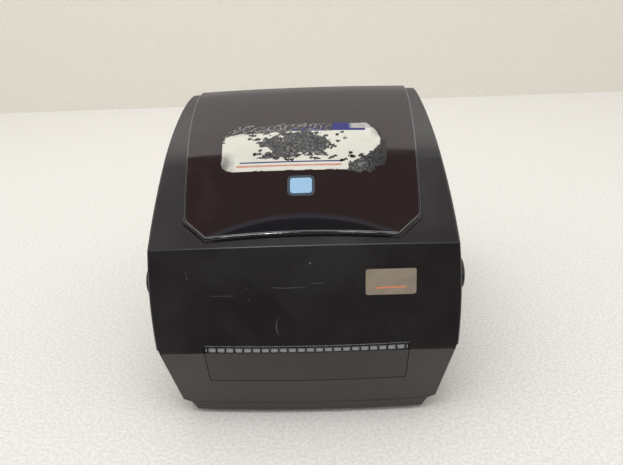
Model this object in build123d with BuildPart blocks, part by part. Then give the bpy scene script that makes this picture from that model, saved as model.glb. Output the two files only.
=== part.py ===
from build123d import *
import os
from math import atan2, ceil, cos, floor, pi, radians, sin, sqrt, tan

# Desktop label printer with a hinged upper casing, in millimetres. The origin is under the
# middle of the printer, on the table. The front faces -Y, +X is to the right of someone
# facing it, and +Z is up.

os.makedirs("parts", exist_ok=True)

# Casing as a whole
body_width = 196.0
half_width = body_width / 2
body_depth = 256.0
body_height = 191.3
foot_height = 3.0
parting_height = 50.0
parting_gap = 0.4
lid_wall = 3.0
base_wall = 2.5
lid_overhang = 1.0
close_fit = 0.05
running_gap = 0.3

# Side view of the casing
front_lean = 15.3
crease_height = 117.0
crease_radius = 2.0
slope_angle = 48.45
shoulder_radius = 90.8
top_bend = 128.8
top_fall = 14.0
top_bend_radius = 40.0
rear_radius = 30.0
rear_run_on = 12.0
base_tuck = 1.5
crown_radius = 822.0
crown_tilt = 33.7
crown_centre = 100.0
crown_sweep = 8.0

# Front view of the casing
side_widest = 83.1
side_radius = 335.0
corner_radius = 1.6
hull_half = half_width - 13.7
hull_height = 10.2
rim_half = half_width - 19.2
rim_height = 8.0
sole_half = half_width - 23.2

# Base tray and bottom plate
plate_top = 9.2
tray_bottom = 9.4
floor_top = 12.0
plate_floor = 2.5
plate_rim = 12.0
foot_radius = 7.0
foot_out = half_width - 38.0
foot_inset_y = 26.0
foot_recess = 1.0
screw_radius = 1.45
screw_head_radius = 2.8
screw_head_height = 1.8
boss_radius = 4.0
screw_out = half_width - 32.0
screw_backs = (90.0, 205.0)
screw_length = 8.0
screw_slot_length = 4.0
screw_slot_width = 0.8
screw_slot_depth = 0.8
boss_height = 5.0
foot_chamfer = 0.6

# Window
window_half = half_width - 24.4
window_front = 19.4
window_back = 206.0
window_corner_width = 13.9
window_corner_depth = 8.9
window_rise = 1.6
window_seat = 1.0
window_gap = 0.4
window_lift = 0.1
window_ledge = 2.0
arch_back = 27.0
arch_radius = 245.0

# Feed button
button_along = 38.5
button_width = 13.9
button_height = 10.4
button_corner = 2.0
button_travel = 1.0
button_proud = 0.6
bezel_rim = 1.3
bezel_flange = 2.0
bezel_flange_depth = 1.2
bezel_proud = 0.3
button_stem = 2.0
button_edge = 0.5
button_switch = 6.0
bezel_seat = 0.3
bezel_leg = 6.0
board_thickness = 1.6

# Paper mouth
mouth_half = half_width - 33.0
mouth_lip = 54.3
blade_top = 58.0
blade_bottom = 52.6
blade_depth = 1.6
blade_thickness = 1.0
blade_pitch = 1.5
blade_tooth = 0.8
bezel_panel_bottom = 27.4
bezel_panel_half_low = mouth_half - 2.0
bezel_panel_top = 49.0
rib_top = 51.4
rib_count = 23
rib_pitch = 5.7
rib_width = 1.0
rib_depth = 1.0
strip_thickness = 1.0
strip_inset = 0.6
rib_root = 0.5
plate_width = 31.2
plate_height = 16.2
plate_corner = 1.5
plate_x = 53.8
plate_z = 93.1
plate_rise = 0.5
plate_tilt = -1.4

# Platen and its drive
platen_back = 22.0
platen_height = 42.5
platen_radius = 8.7
platen_core = 4.0
platen_shaft_radius = 3.0
platen_half = mouth_half - 9.0
frame_in = half_width - 28.0
frame_thickness = 2.0
bush_radius = 6.0
bush_flange_radius = 8.0
bush_flange = 1.2
gear_module = 0.8
platen_teeth = 30
idler_small_teeth = 16
idler_large_teeth = 42
pinion_teeth = 14
gear_backlash = 0.16
gear_width = 3.6
gear_gap = 0.8
idler_angle = -30.0
motor_angle = -8.0
motor_side = 32.0
motor_length = 30.0
motor_corner = 3.0
motor_shaft_radius = 2.5
stud_radius = 2.5
motor_boss_radius = 9.0
gear_side_gap = 1.2
frame_front = 11.0
frame_top = 62.0
frame_step_back = 42.0
frame_low = 47.0
frame_back = 82.0
frame_flange = 7.0
flange_thickness = 1.5
frame_screw_inset = 6.0
frame_screw_out = 4.0

# Latch
latch_back = 30.0
latch_height = 88.0
latch_shaft_radius = 3.0
latch_pad_radius = 9.5
latch_pad_out = 3.0
pad_edge = 0.8
hook_in = half_width - 15.0
hook_thickness = 3.0
hook_arm = 4.0
hook_eye_radius = 6.0
catch_back = 34.0
catch_height = 57.0
catch_radius = 2.0

# Lid hinge
hinge_inset = 8.0
hinge_height = 62.0
hinge_pin_radius = 2.5
hinge_eye_radius = 5.0
ear_in = half_width - 38.0
ear_width = 6.0
knuckle_width = 8.0
ear_gap = 0.5
fan_slot_top = 55.5
ear_notch_height = 69.0

# Label roll bay
roll_back = 182.0
roll_height = 92.0
roll_radius = 58.0
deck_front_back = 32.0
deck_front_top = 50.0
deck_riser_back = 112.0
deck_floor_top = 32.5
deck_rear_back = 228.0
deck_thickness = 2.5
deck_half = half_width - 18.0
deck_front_half = frame_in - 0.5
deck_post_out = half_width - 33.0
deck_post_inset = 8.0
holder_gap = mouth_half - 9.0
holder_arm = 5.0
holder_arm_width = 30.0
holder_hub_radius = 12.5
holder_hub_length = 9.0
holder_disc_radius = 19.0
holder_travel = 30.0
holder_wall = 2.0
holder_rim = 3.0
holder_foot = 6.0
rack_module = 1.0
rack_backlash = 0.3
rack_height = 5.0
rack_body = 5.0
holder_pinion_teeth = 16
guide_pinion_teeth = 12
guide_back = 96.0
guide_gap = mouth_half - 8.0
guide_wall = 2.5
guide_length = 26.0
guide_height = 12.0
guide_travel = 32.0
slot_clearance = 0.5
pinion_stud_radius = 2.0
rack_drop = 2.0
rack_end = 8.0
neck_width = 4.0

# Gap sensor
sensor_back = 38.0
sensor_rail_radius = 2.0
sensor_rail_height = 42.0
sensor_width = 16.0
sensor_length = 7.0
sensor_travel = 30.0
sensor_proud = 0.6
sensor_eye = 3.0

# Electronics and the rear panel
board_half = half_width - 38.0
board_front = 100.0
board_back = 244.0
board_height = 16.0
board_post_radius = 3.0
board_post_inset = 6.0
board_chips = (
    (-10.0, 150.0, 24.0, 24.0, 1.6),
    (22.0, 150.0, 12.0, 18.0, 1.2),
    (22.0, 172.0, 12.0, 18.0, 1.2),
    (-40.0, 130.0, 16.0, 6.0, 9.0),
    (40.0, 120.0, 20.0, 6.0, 9.0),
    (-38.0, 200.0, 8.0, 24.0, 3.0),
    (44.0, 190.0, 10.0, 14.0, 2.4),
)
board_cans = ((30.0, 220.0, 5.0, 10.0), (44.0, 220.0, 5.0, 10.0), (12.0, 218.0, 3.0, 6.0))
panel_half = half_width - 22.0
panel_low = 15.0
panel_high = 44.0
panel_thickness = 1.5
panel_window_half = panel_half - 6.0
panel_window_low = 17.5
panel_window_high = 41.5
serial_x = -38.0
usb_x = -2.0
jack_x = 24.0
switch_x = 52.0
socket_inset = 1.4
serial_half = 15.5
serial_height = 12.0
serial_depth = 8.0
serial_shell_width = 18.0
serial_shell_height = 8.4
serial_pin_pitch = 2.76
serial_nut_out = 12.5
serial_nut_radius = 2.6
serial_slant = 80.0
serial_rim = 0.6
serial_well = 2.0
serial_pin_radius = 0.5
serial_pin_length = 4.0
serial_row_rise = 1.4
socket_well = 9.0
usb_half = 6.0
usb_height = 11.0
usb_depth = 12.0
usb_wall = 1.6
usb_tongue_half = 2.8
usb_tongue_rise = 1.6
jack_half = 5.0
jack_height = 11.0
jack_depth = 10.0
jack_bore_radius = 3.2
jack_pin_radius = 1.2
switch_half = 6.8
switch_low = 19.5
switch_high = 40.0
switch_depth = 10.0
switch_flange = 1.2
rocker_half_width = 5.0
rocker_half_height = 8.0
rocker_depth = 5.0
rocker_dip = 1.0
rocker_room = 1.2
rocker_pin_radius = 1.2
rocker_pin_wall = 0.5
rocker_tilt = 8.0

# Ribbon chassis in the lid
cheek_in = half_width - 34.0
cheek_thickness = 2.0
take_up_back = 56.0
take_up_height = 112.0
supply_back = 108.0
supply_height = 140.0
spindle_radius = 6.0
spindle_fin = 6.3
spindle_fin_width = 1.2
journal_radius = 3.0
take_up_teeth = 36
ribbon_pinion_teeth = 12
ribbon_gear_width = 4.0
ribbon_motor_angle = 50.0
ribbon_motor_radius = 10.0
ribbon_motor_length = 14.0
chassis_post_radius = 4.0
crossbar_back = 33.0
crossbar_low = 72.0
crossbar_size = 8.0
rod_radius = 2.5
cheek_window_radius = 9.0
cheek_window_back = 88.0
cheek_window_height = 114.0
spindle_side_gap = 0.6
spindle_flange = 1.5
spindle_flange_radius = 11.0
ribbon_shaft_radius = 1.5
bracket_thickness = 1.2
bracket_foot_radius = 2.5
bracket_foot_spots = ((86.0, 118.0), (54.0, 138.0))
bracket_outline = ((91.0, 113.0), (91.0, 123.0), (59.0, 143.0), (49.0, 140.0), (51.0, 132.0))
bracket_corner = 2.0
chassis_post_spots = ((34.0, 108.0), (84.0, 150.0), (120.0, 122.0))
rod_spots = ((28.0, 70.0), (62.0, 70.0))
cheek_corner_radius = 4.0
cheek_outline = (
    (22.0, 62.0),
    (22.0, 100.0),
    (40.0, 130.0),
    (78.0, 160.0),
    (124.0, 162.0),
    (130.0, 116.0),
    (70.0, 62.0),
)

# Print head
head_pivot_back = 50.0
head_pivot_height = 66.0
head_pivot_radius = 2.5
head_half = mouth_half - 8.0
head_gap = 0.3
head_plate = 1.5
head_sink_height = 7.0
head_length = 20.0
head_ahead = 2.0
sink_groove_count = 5
sink_groove = 1.6
sink_groove_pitch = 3.7
head_spring_radius = 4.0
head_spring_wire = 0.9
head_spring_turns = 5
head_spring_x = 34.0

front = -body_depth / 2
lip_setback = (mouth_lip - parting_height) * front_lean / (crease_height - parting_height)
rear = body_depth / 2 - lip_setback
lid_bottom = parting_height + parting_gap / 2
base_top = parting_height - parting_gap / 2
lid_top = body_height - window_rise
crease_y = front + front_lean
slope_rise = tan(radians(slope_angle))
front_angle = atan2(front_lean, crease_height - parting_height)
pivot_y = rear - hinge_inset


def block(x, y, z, mode=Mode.ADD):
    """Add a block to the open part from its low and high limits along X, Y and Z."""
    with Locations(((x[0] + x[1]) / 2, (y[0] + y[1]) / 2, (z[0] + z[1]) / 2)):
        Box(x[1] - x[0], y[1] - y[0], z[1] - z[0], mode=mode)


def bar(x, y, z, radius, mode=Mode.ADD):
    """Add a round bar along X, from x[0] to x[1], to the open part."""
    with Locations(((x[0] + x[1]) / 2, y, z)):
        Cylinder(radius, abs(x[1] - x[0]), rotation=(0, 90, 0), mode=mode)


def post(x, y, z, radius, mode=Mode.ADD):
    """Add an upright round post, from z[0] to z[1], to the open part."""
    with Locations((x, y, (z[0] + z[1]) / 2)):
        Cylinder(radius, z[1] - z[0], mode=mode)


def span(side, near, far):
    """Limits along X of something that lies from near to far out on one side."""
    return (near, far) if side > 0 else (-far, -near)


# Outer form of the casing: its side view is swept round a far, tilted axis, which crowns
# the top and bows the front, and is then cut to the front view.
side_outline = [
    (front + base_tuck, 0),
    (front, parting_height),
    (crease_y, crease_height),
    (crease_y + (lid_top - crease_height) / slope_rise, lid_top),
    (front + top_bend, lid_top),
    (
        rear + rear_run_on,
        lid_top - (body_depth + rear_run_on - top_bend) * tan(radians(top_fall)),
    ),
    (rear + rear_run_on, 0),
]
side_radii = [0, 0, crease_radius, shoulder_radius, top_bend_radius, 0, 0]
crown_axis = Axis(
    (
        0,
        crown_radius * cos(radians(crown_tilt)),
        crown_centre - crown_radius * sin(radians(crown_tilt)),
    ),
    (0, sin(radians(crown_tilt)), cos(radians(crown_tilt))),
)


def swept_form(inset):
    """Side view of the casing, drawn in by inset and swept across the whole width."""
    with BuildPart() as form:
        with BuildSketch(Plane.YZ):
            with BuildLine():
                FilletPolyline(side_outline, radius=side_radii, close=True)
            make_face()
            if inset:
                offset(amount=-inset, kind=Kind.INTERSECTION)
        revolve(axis=crown_axis, revolution_arc=crown_sweep)
        mirror(about=Plane.YZ)
        block(
            (-body_width, body_width),
            (-body_depth, rear - inset),
            (-body_height, 2 * body_height),
            mode=Mode.INTERSECT,
        )
        rear_plane_edges = form.edges().filter_by_position(
            Axis.Y, rear - inset - close_fit, rear - inset + close_fit
        )
        fillet(rear_plane_edges.group_by(Axis.Z)[-1], rear_radius - inset)
    return form.part


def side_draw(height):
    """How far the casing's side lies inside its widest point, at a height above the parting."""
    return side_radius - sqrt(side_radius**2 - (height - side_widest) ** 2)


def lid_form(inset, bottom):
    """Outer form above the parting, drawn in by inset, down to the height bottom."""
    top = body_height + 4 * lid_wall
    sill = bottom - inset
    low = half_width - side_draw(sill)
    high = half_width - side_draw(top)
    with BuildPart() as form:
        add(swept_form(inset))
        with BuildSketch(Plane.XZ):
            with BuildLine():
                Line((0, sill), (low, sill))
                ThreePointArc((low, sill), (half_width, side_widest), (high, top))
                Line((high, top), (0, top))
                mirror(about=Plane.YZ)
            make_face()
            if inset:
                offset(amount=-inset, kind=Kind.INTERSECTION)
        extrude(amount=body_depth, both=True, mode=Mode.INTERSECT)
    return form.part


def base_form(inset):
    """Outer form below the parting, drawn in by inset, and running on above the parting."""
    half = half_width - side_draw(parting_height)
    sole = foot_height - lid_overhang
    top = parting_height + hull_half
    with BuildPart() as form:
        add(swept_form(inset))
        with BuildSketch(Plane.XZ):
            with BuildLine():
                Polyline(
                    (0, sole),
                    (sole_half, sole),
                    (rim_half, rim_height),
                    (hull_half, hull_height),
                    (half, parting_height),
                    (half, top),
                    (0, top),
                )
                mirror(about=Plane.YZ)
            make_face()
            offset(amount=-inset, kind=Kind.INTERSECTION)
        extrude(amount=body_depth, both=True, mode=Mode.INTERSECT)
    return form.part


def slab(form, low, high):
    """The part of a form that lies between two heights."""
    with BuildPart() as cut:
        add(form)
        block(
            (-body_width, body_width),
            (-body_depth, body_depth),
            (low, high),
            mode=Mode.INTERSECT,
        )
    return cut.part


def front_skin(depth, thickness, half, low, high):
    """Sheet that follows the front of the casing, depth behind it."""
    with BuildPart() as skin:
        add(swept_form(depth))
        add(swept_form(depth + thickness), mode=Mode.SUBTRACT)
        block((-half, half), (front - 1, front + front_lean), (low, high), mode=Mode.INTERSECT)
    return skin.part


def window_outline(grow):
    """Window seen from above, with its two front corners cut off, grown by grow."""
    near = front + window_front
    with BuildSketch() as outline:
        with BuildLine():
            Polyline(
                (0, near),
                (window_half - window_corner_width, near),
                (window_half, near + window_corner_depth),
                (window_half, front + window_back),
                (0, front + window_back),
            )
            mirror(about=Plane.YZ)
        make_face()
        if grow:
            offset(amount=grow, kind=Kind.INTERSECTION)
    return outline.sketch


def window_opening():
    """Opening in the lid under the window, held back behind an arch along its front."""
    with BuildSketch() as outline:
        add(window_outline(-window_ledge))
        with Locations((0, front + arch_back - arch_radius)):
            Circle(arch_radius, mode=Mode.SUBTRACT)
    return outline.sketch


def involute_point(base_radius, radius, start_angle):
    """Point of an involute at a radius, for a flank that leaves its base circle at an angle."""
    roll = sqrt(max(radius**2 / base_radius**2 - 1, 0))
    angle = start_angle + roll - atan2(roll, 1)
    return radius * cos(angle), radius * sin(angle)


def gear_outline(teeth, module, turn=0.0, backlash=gear_backlash):
    """Spur gear seen along its axis, with a tooth centred on the angle turn in degrees."""
    pitch_radius = teeth * module / 2
    base_radius = pitch_radius * cos(radians(20))
    tip_radius = pitch_radius + 0.9 * module
    root_radius = pitch_radius - 1.25 * module
    roll = tan(radians(20)) - radians(20)
    half_tooth = (pi * module / 2 - backlash) / 2 / pitch_radius + roll
    low_radius = max(base_radius, root_radius)
    radii = [low_radius, (low_radius + tip_radius) / 2, tip_radius]
    with BuildSketch() as outline:
        with BuildLine():
            for tooth in range(teeth):
                centre = radians(turn) + 2 * pi * tooth / teeth
                rising = [involute_point(base_radius, r, -half_tooth) for r in radii]
                falling = [(x, -y) for x, y in reversed(rising)]
                root_angle = atan2(rising[0][1], rising[0][0])
                next_root = 2 * pi / teeth + root_angle
                turned = [
                    (x * cos(centre) - y * sin(centre), x * sin(centre) + y * cos(centre))
                    for x, y in rising + falling
                ]
                foot_in = (
                    root_radius * cos(centre + root_angle),
                    root_radius * sin(centre + root_angle),
                )
                foot_out = (
                    root_radius * cos(centre - root_angle),
                    root_radius * sin(centre - root_angle),
                )
                foot_next = (
                    root_radius * cos(centre + next_root),
                    root_radius * sin(centre + next_root),
                )
                if low_radius > root_radius:
                    Line(foot_in, turned[0])
                    Line(turned[5], foot_out)
                ThreePointArc(*turned[:3])
                Line(turned[2], turned[3])
                ThreePointArc(*turned[3:])
                Line(foot_out, foot_next)
        make_face()
    return outline.sketch


def meshing_turn(teeth, turn, direction, other_teeth):
    """Turn of a second gear that meshes with a first one, whose tooth lies at turn."""
    step = 360 / teeth
    offset_share = ((direction - turn) / step) % 1
    return direction + 180 + (offset_share + 0.5) * 360 / other_teeth


def add_gear(plane, teeth, width, module=gear_module, turn=0.0, backlash=gear_backlash):
    """Add a spur gear, from its plane along the plane's normal, to the open part."""
    with BuildSketch(plane) as blank:
        add(gear_outline(teeth, module, turn, backlash))
    extrude(blank.sketch, amount=width)


def bezel_outline(grow):
    """Front bezel and the mouth above it, seen from the front, grown by grow."""
    with BuildSketch(Plane.XZ.offset(-front - front_lean)) as outline:
        with BuildLine():
            Polyline(
                (0, bezel_panel_bottom),
                (bezel_panel_half_low, bezel_panel_bottom),
                (mouth_half, bezel_panel_top),
                (mouth_half, mouth_lip),
                (0, mouth_lip),
            )
            mirror(about=Plane.YZ)
        make_face()
        if grow:
            offset(amount=grow, kind=Kind.INTERSECTION)
    return outline.sketch


def axle_plane(x, y, z):
    """Plane across an axle along X, whose own X points to the rear and whose Y points up."""
    return Plane(origin=(x, y, z), x_dir=(0, 1, 0), z_dir=(1, 0, 0))


def slope_plane(along, above):
    """Plane parallel to the window's slope, along it from the crease and above the lid."""
    lean = radians(slope_angle)
    return Plane(
        origin=(
            0,
            crease_y + along * cos(lean) - above * sin(lean),
            crease_height + along * sin(lean) + above * cos(lean),
        ),
        x_dir=(1, 0, 0),
        z_dir=(0, -sin(lean), cos(lean)),
    )


# Base: tray, bottom plate, feet and their screws
frame_out = frame_in + frame_thickness
screw_places = [(side * screw_out, front + back) for side in (-1, 1) for back in screw_backs]
foot_places = [
    (side * foot_out, end * (body_depth / 2 - foot_inset_y))
    for side in (-1, 1)
    for end in (-1, 1)
]
frame_screw_places = [
    (side * (frame_out + frame_screw_out), front + back)
    for side in (-1, 1)
    for back in (frame_front + frame_screw_inset, frame_back - frame_screw_inset)
]
deck_front_low = deck_front_top - deck_thickness
deck_floor_low = deck_floor_top - deck_thickness
deck_post_places = [
    (side * deck_post_out, front + back, top)
    for side in (-1, 1)
    for back, top in (
        (deck_riser_back - deck_post_inset, deck_front_low),
        (deck_rear_back - deck_post_inset, deck_floor_low),
    )
]
board_post_places = [
    (side * (board_half - board_post_inset), front + back)
    for side in (-1, 1)
    for back in (board_front + board_post_inset, board_back - board_post_inset)
]
wall_face = rear - lid_overhang - base_wall
panel_front = wall_face - panel_thickness

with BuildPart() as base_shell:
    add(slab(base_form(lid_overhang), tray_bottom, base_top))
    add(
        slab(base_form(lid_overhang + base_wall), floor_top, parting_height + 1),
        mode=Mode.SUBTRACT,
    )
    extrude(bezel_outline(window_gap), amount=2 * front_lean, mode=Mode.SUBTRACT)
    block(
        (-panel_window_half, panel_window_half),
        (wall_face - 1, rear),
        (panel_window_low, panel_window_high),
        mode=Mode.SUBTRACT,
    )
    for x, y in screw_places:
        post(x, y, (floor_top, floor_top + boss_height), boss_radius)
        post(x, y, (0, floor_top + boss_height), screw_radius + close_fit, Mode.SUBTRACT)
    for x, y in frame_screw_places:
        post(x, y, (0, floor_top), screw_radius + close_fit, Mode.SUBTRACT)
    for x, y, top in deck_post_places:
        post(x, y, (floor_top, top), boss_radius)
    for x, y in board_post_places:
        post(x, y, (floor_top, board_height), board_post_radius)
    for side in (-1, 1):
        ear = span(side, ear_in, ear_in + ear_width)
        block(
            ear,
            (pivot_y - hinge_eye_radius, wall_face + 1),
            (panel_high + 1, hinge_height - hinge_eye_radius),
        )
        block(
            ear,
            (pivot_y - hinge_eye_radius, pivot_y + hinge_eye_radius - 1),
            (panel_high + 1, hinge_height),
        )
        bar(ear, pivot_y, hinge_height, hinge_eye_radius)
        bar(ear, pivot_y, hinge_height, hinge_pin_radius + close_fit, Mode.SUBTRACT)
base_shell.part.label = "base_shell"
export_step(base_shell.part, "parts/base_shell.step")

with BuildPart() as bottom_plate:
    add(slab(base_form(lid_overhang), 0, plate_top))
    block(
        (-sole_half + base_wall, sole_half - base_wall),
        (front + plate_rim, rear - plate_rim),
        (foot_height + plate_floor, plate_top),
        mode=Mode.SUBTRACT,
    )
    for x, y in screw_places:
        post(x, y, (foot_height, plate_top), boss_radius + 1)
        post(x, y, (0, plate_top), screw_radius + close_fit, Mode.SUBTRACT)
        post(
            x,
            y,
            (0, foot_height + screw_head_height + close_fit),
            screw_head_radius + close_fit,
            Mode.SUBTRACT,
        )
    for x, y in foot_places:
        post(x, y, (0, foot_height + foot_recess), foot_radius + close_fit, Mode.SUBTRACT)
bottom_plate.part.label = "bottom_plate"
export_step(bottom_plate.part, "parts/bottom_plate.step")

with BuildPart() as feet:
    for x, y in foot_places:
        post(x, y, (0, foot_height + foot_recess), foot_radius)
    chamfer(feet.edges().group_by(Axis.Z)[0], foot_chamfer)
feet.part.label = "feet"
export_step(feet.part, "parts/feet.step")

with BuildPart() as base_screws:
    head_top = foot_height + screw_head_height
    for x, y in screw_places:
        post(x, y, (foot_height, head_top), screw_head_radius)
        post(x, y, (head_top, head_top + screw_length), screw_radius)
        block(
            (x - screw_slot_length / 2, x + screw_slot_length / 2),
            (y - screw_slot_width / 2, y + screw_slot_width / 2),
            (0, foot_height + screw_slot_depth),
            mode=Mode.SUBTRACT,
        )
    flange_top = floor_top + flange_thickness
    for x, y in frame_screw_places:
        post(x, y, (tray_bottom, flange_top), screw_radius)
        post(x, y, (flange_top, flange_top + screw_head_height), screw_head_radius)
base_screws.part.label = "base_screws"
export_step(base_screws.part, "parts/base_screws.step")

# Mouth: removable front bezel with its comb of ribs, and the strip seen between them
rib_places = [rib_pitch * (n - (rib_count - 1) / 2) for n in range(rib_count)]

with BuildPart() as rib_comb:
    with Locations(*[(x, front, (bezel_panel_top + rib_top) / 2) for x in rib_places]):
        Box(rib_width, 2 * front_lean, rib_top - bezel_panel_top + 2 * rib_root)
    add(
        front_skin(lid_overhang, rib_depth, mouth_half, bezel_panel_top - rib_root, rib_top),
        mode=Mode.INTERSECT,
    )

with BuildPart() as front_bezel:
    add(front_skin(lid_overhang, base_wall, mouth_half, bezel_panel_bottom, bezel_panel_top))
    extrude(bezel_outline(0), amount=2 * front_lean, mode=Mode.INTERSECT)
    add(rib_comb.part)
front_bezel.part.label = "front_bezel"
export_step(front_bezel.part, "parts/front_bezel.step")

with BuildPart() as exit_strip:
    add(
        front_skin(
            lid_overhang + rib_depth + close_fit,
            strip_thickness,
            mouth_half - strip_inset,
            bezel_panel_top,
            rib_top - strip_inset / 4,
        )
    )
exit_strip.part.label = "exit_strip"
export_step(exit_strip.part, "parts/exit_strip.step")

# Print mechanism in the base
platen_y = front + platen_back
platen_gear_radius = platen_teeth * gear_module / 2
idler_reach = (platen_teeth + idler_small_teeth) * gear_module / 2
motor_reach = (idler_large_teeth + pinion_teeth) * gear_module / 2
idler_y = platen_y + idler_reach * cos(radians(idler_angle))
idler_z = platen_height + idler_reach * sin(radians(idler_angle))
motor_y = idler_y + motor_reach * cos(radians(motor_angle))
motor_z = idler_z + motor_reach * sin(radians(motor_angle))
inner_gear_x = -(frame_out + gear_side_gap + gear_width)
outer_gear_x = inner_gear_x - gear_gap - gear_width
sensor_y = front + sensor_back
catch_y = front + catch_back

for side, hand in ((-1, "left"), (1, "right")):
    with BuildPart() as side_frame:
        with BuildSketch(Plane.YZ.offset(side * (frame_in + frame_thickness / 2))):
            with BuildLine():
                Polyline(
                    (front + frame_front, floor_top),
                    (front + frame_front, frame_top),
                    (front + frame_step_back, frame_top),
                    (front + frame_step_back + frame_top - frame_low, frame_low),
                    (front + frame_back, frame_low),
                    (front + frame_back, floor_top),
                    close=True,
                )
            make_face()
        extrude(amount=frame_thickness / 2, both=True)
        block(
            span(side, frame_in, frame_out + frame_flange),
            (front + frame_front, front + frame_back),
            (floor_top, floor_top + flange_thickness),
        )
        through = span(side, frame_in - 1, frame_out + 1)
        bar(through, platen_y, platen_height, bush_radius + close_fit, Mode.SUBTRACT)
        bar(through, catch_y, catch_height, catch_radius + close_fit, Mode.SUBTRACT)
        bar(
            through,
            sensor_y,
            sensor_rail_height,
            sensor_rail_radius + close_fit,
            Mode.SUBTRACT,
        )
        if side < 0:
            bar(through, idler_y, idler_z, stud_radius + close_fit, Mode.SUBTRACT)
            bar(through, motor_y, motor_z, motor_boss_radius + close_fit, Mode.SUBTRACT)
        for x, y in frame_screw_places:
            post(x, y, (floor_top, flange_top), screw_radius + close_fit, Mode.SUBTRACT)
    side_frame.part.label = f"side_frame_{hand}"
    export_step(side_frame.part, f"parts/side_frame_{hand}.step")

with BuildPart() as catch_pins:
    for side in (-1, 1):
        bar(span(side, frame_in, hook_in + hook_thickness + 1), catch_y, catch_height, catch_radius)
catch_pins.part.label = "catch_pins"
export_step(catch_pins.part, "parts/catch_pins.step")

with BuildPart() as platen_bushes:
    for side in (-1, 1):
        flange = span(side, frame_in - bush_flange, frame_in)
        bar(span(side, frame_in, frame_out + 1), platen_y, platen_height, bush_radius)
        bar(flange, platen_y, platen_height, bush_flange_radius)
    bar(
        (-body_width, body_width),
        platen_y,
        platen_height,
        platen_shaft_radius + close_fit,
        Mode.SUBTRACT,
    )
platen_bushes.part.label = "platen_bushes"
export_step(platen_bushes.part, "parts/platen_bushes.step")

with BuildPart() as platen_shaft:
    bar((-platen_half, platen_half), platen_y, platen_height, platen_core)
    bar((inner_gear_x - gear_gap / 2, frame_out + 2), platen_y, platen_height, platen_shaft_radius)
platen_shaft.part.label = "platen_shaft"
export_step(platen_shaft.part, "parts/platen_shaft.step")

with BuildPart() as platen_roller:
    bar((-platen_half, platen_half), platen_y, platen_height, platen_radius)
    bar(
        (-platen_half - 1, platen_half + 1),
        platen_y,
        platen_height,
        platen_core + close_fit,
        Mode.SUBTRACT,
    )
platen_roller.part.label = "platen_roller"
export_step(platen_roller.part, "parts/platen_roller.step")

# Drive gears: motor pinion, compound idler and platen gear
idler_small_turn = meshing_turn(platen_teeth, 0.0, idler_angle, idler_small_teeth)
pinion_turn = meshing_turn(idler_large_teeth, 0.0, motor_angle, pinion_teeth)

with BuildPart() as platen_gear:
    add_gear(axle_plane(inner_gear_x, platen_y, platen_height), platen_teeth, gear_width)
    bar(
        (inner_gear_x - 1, inner_gear_x + gear_width + 1),
        platen_y,
        platen_height,
        platen_shaft_radius + close_fit,
        Mode.SUBTRACT,
    )
platen_gear.part.label = "platen_gear"
export_step(platen_gear.part, "parts/platen_gear.step")

with BuildPart() as idler_gear:
    small_plane = axle_plane(inner_gear_x, idler_y, idler_z)
    large_plane = axle_plane(outer_gear_x, idler_y, idler_z)
    add_gear(small_plane, idler_small_teeth, gear_width, turn=idler_small_turn)
    add_gear(large_plane, idler_large_teeth, gear_width)
    bar((outer_gear_x, inner_gear_x + 1), idler_y, idler_z, 2 * stud_radius)
    bar(
        (outer_gear_x - 1, inner_gear_x + gear_width + 1),
        idler_y,
        idler_z,
        stud_radius + close_fit,
        Mode.SUBTRACT,
    )
idler_gear.part.label = "idler_gear"
export_step(idler_gear.part, "parts/idler_gear.step")

with BuildPart() as idler_stud:
    bar((outer_gear_x - gear_gap, -frame_in), idler_y, idler_z, stud_radius)
    cap = (outer_gear_x - 2 * gear_gap, outer_gear_x - gear_gap / 2)
    bar(cap, idler_y, idler_z, 2 * stud_radius)
idler_stud.part.label = "idler_stud"
export_step(idler_stud.part, "parts/idler_stud.step")

with BuildPart() as drive_motor:
    block(
        (-frame_in, -frame_in + motor_length),
        (motor_y - motor_side / 2, motor_y + motor_side / 2),
        (motor_z - motor_side / 2, motor_z + motor_side / 2),
    )
    chamfer(drive_motor.edges().filter_by(Axis.X), motor_corner)
    bar((-frame_out, -frame_in), motor_y, motor_z, motor_boss_radius)
    bar((outer_gear_x - gear_gap, -frame_out), motor_y, motor_z, motor_shaft_radius)
drive_motor.part.label = "drive_motor"
export_step(drive_motor.part, "parts/drive_motor.step")

with BuildPart() as motor_pinion:
    pinion_plane = axle_plane(outer_gear_x, motor_y, motor_z)
    add_gear(pinion_plane, pinion_teeth, gear_width, turn=pinion_turn)
    bar(
        (outer_gear_x - 1, outer_gear_x + gear_width + 1),
        motor_y,
        motor_z,
        motor_shaft_radius + close_fit,
        Mode.SUBTRACT,
    )
motor_pinion.part.label = "motor_pinion"
export_step(motor_pinion.part, "parts/motor_pinion.step")

# Gap sensor on its rail
with BuildPart() as sensor_rail:
    bar((-frame_out, frame_out), sensor_y, sensor_rail_height, sensor_rail_radius)
sensor_rail.part.label = "sensor_rail"
export_step(sensor_rail.part, "parts/sensor_rail.step")

with BuildPart() as gap_sensor:
    block(
        (-sensor_width / 2, sensor_width / 2),
        (sensor_y - sensor_length / 2, sensor_y + sensor_length / 2),
        (sensor_rail_height - 2 * sensor_rail_radius, deck_front_top + sensor_proud),
    )
    fillet(gap_sensor.edges().group_by(Axis.Z)[-1], sensor_proud)
    bar(
        (-sensor_width, sensor_width),
        sensor_y,
        sensor_rail_height,
        sensor_rail_radius + close_fit,
        Mode.SUBTRACT,
    )
    block(
        (-sensor_eye / 2, sensor_eye / 2),
        (sensor_y - sensor_eye / 2, sensor_y + sensor_eye / 2),
        (deck_front_top - 1, deck_front_top + 1),
        mode=Mode.SUBTRACT,
    )
gap_sensor.part.label = "gap_sensor"
export_step(gap_sensor.part, "parts/gap_sensor.step")

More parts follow.
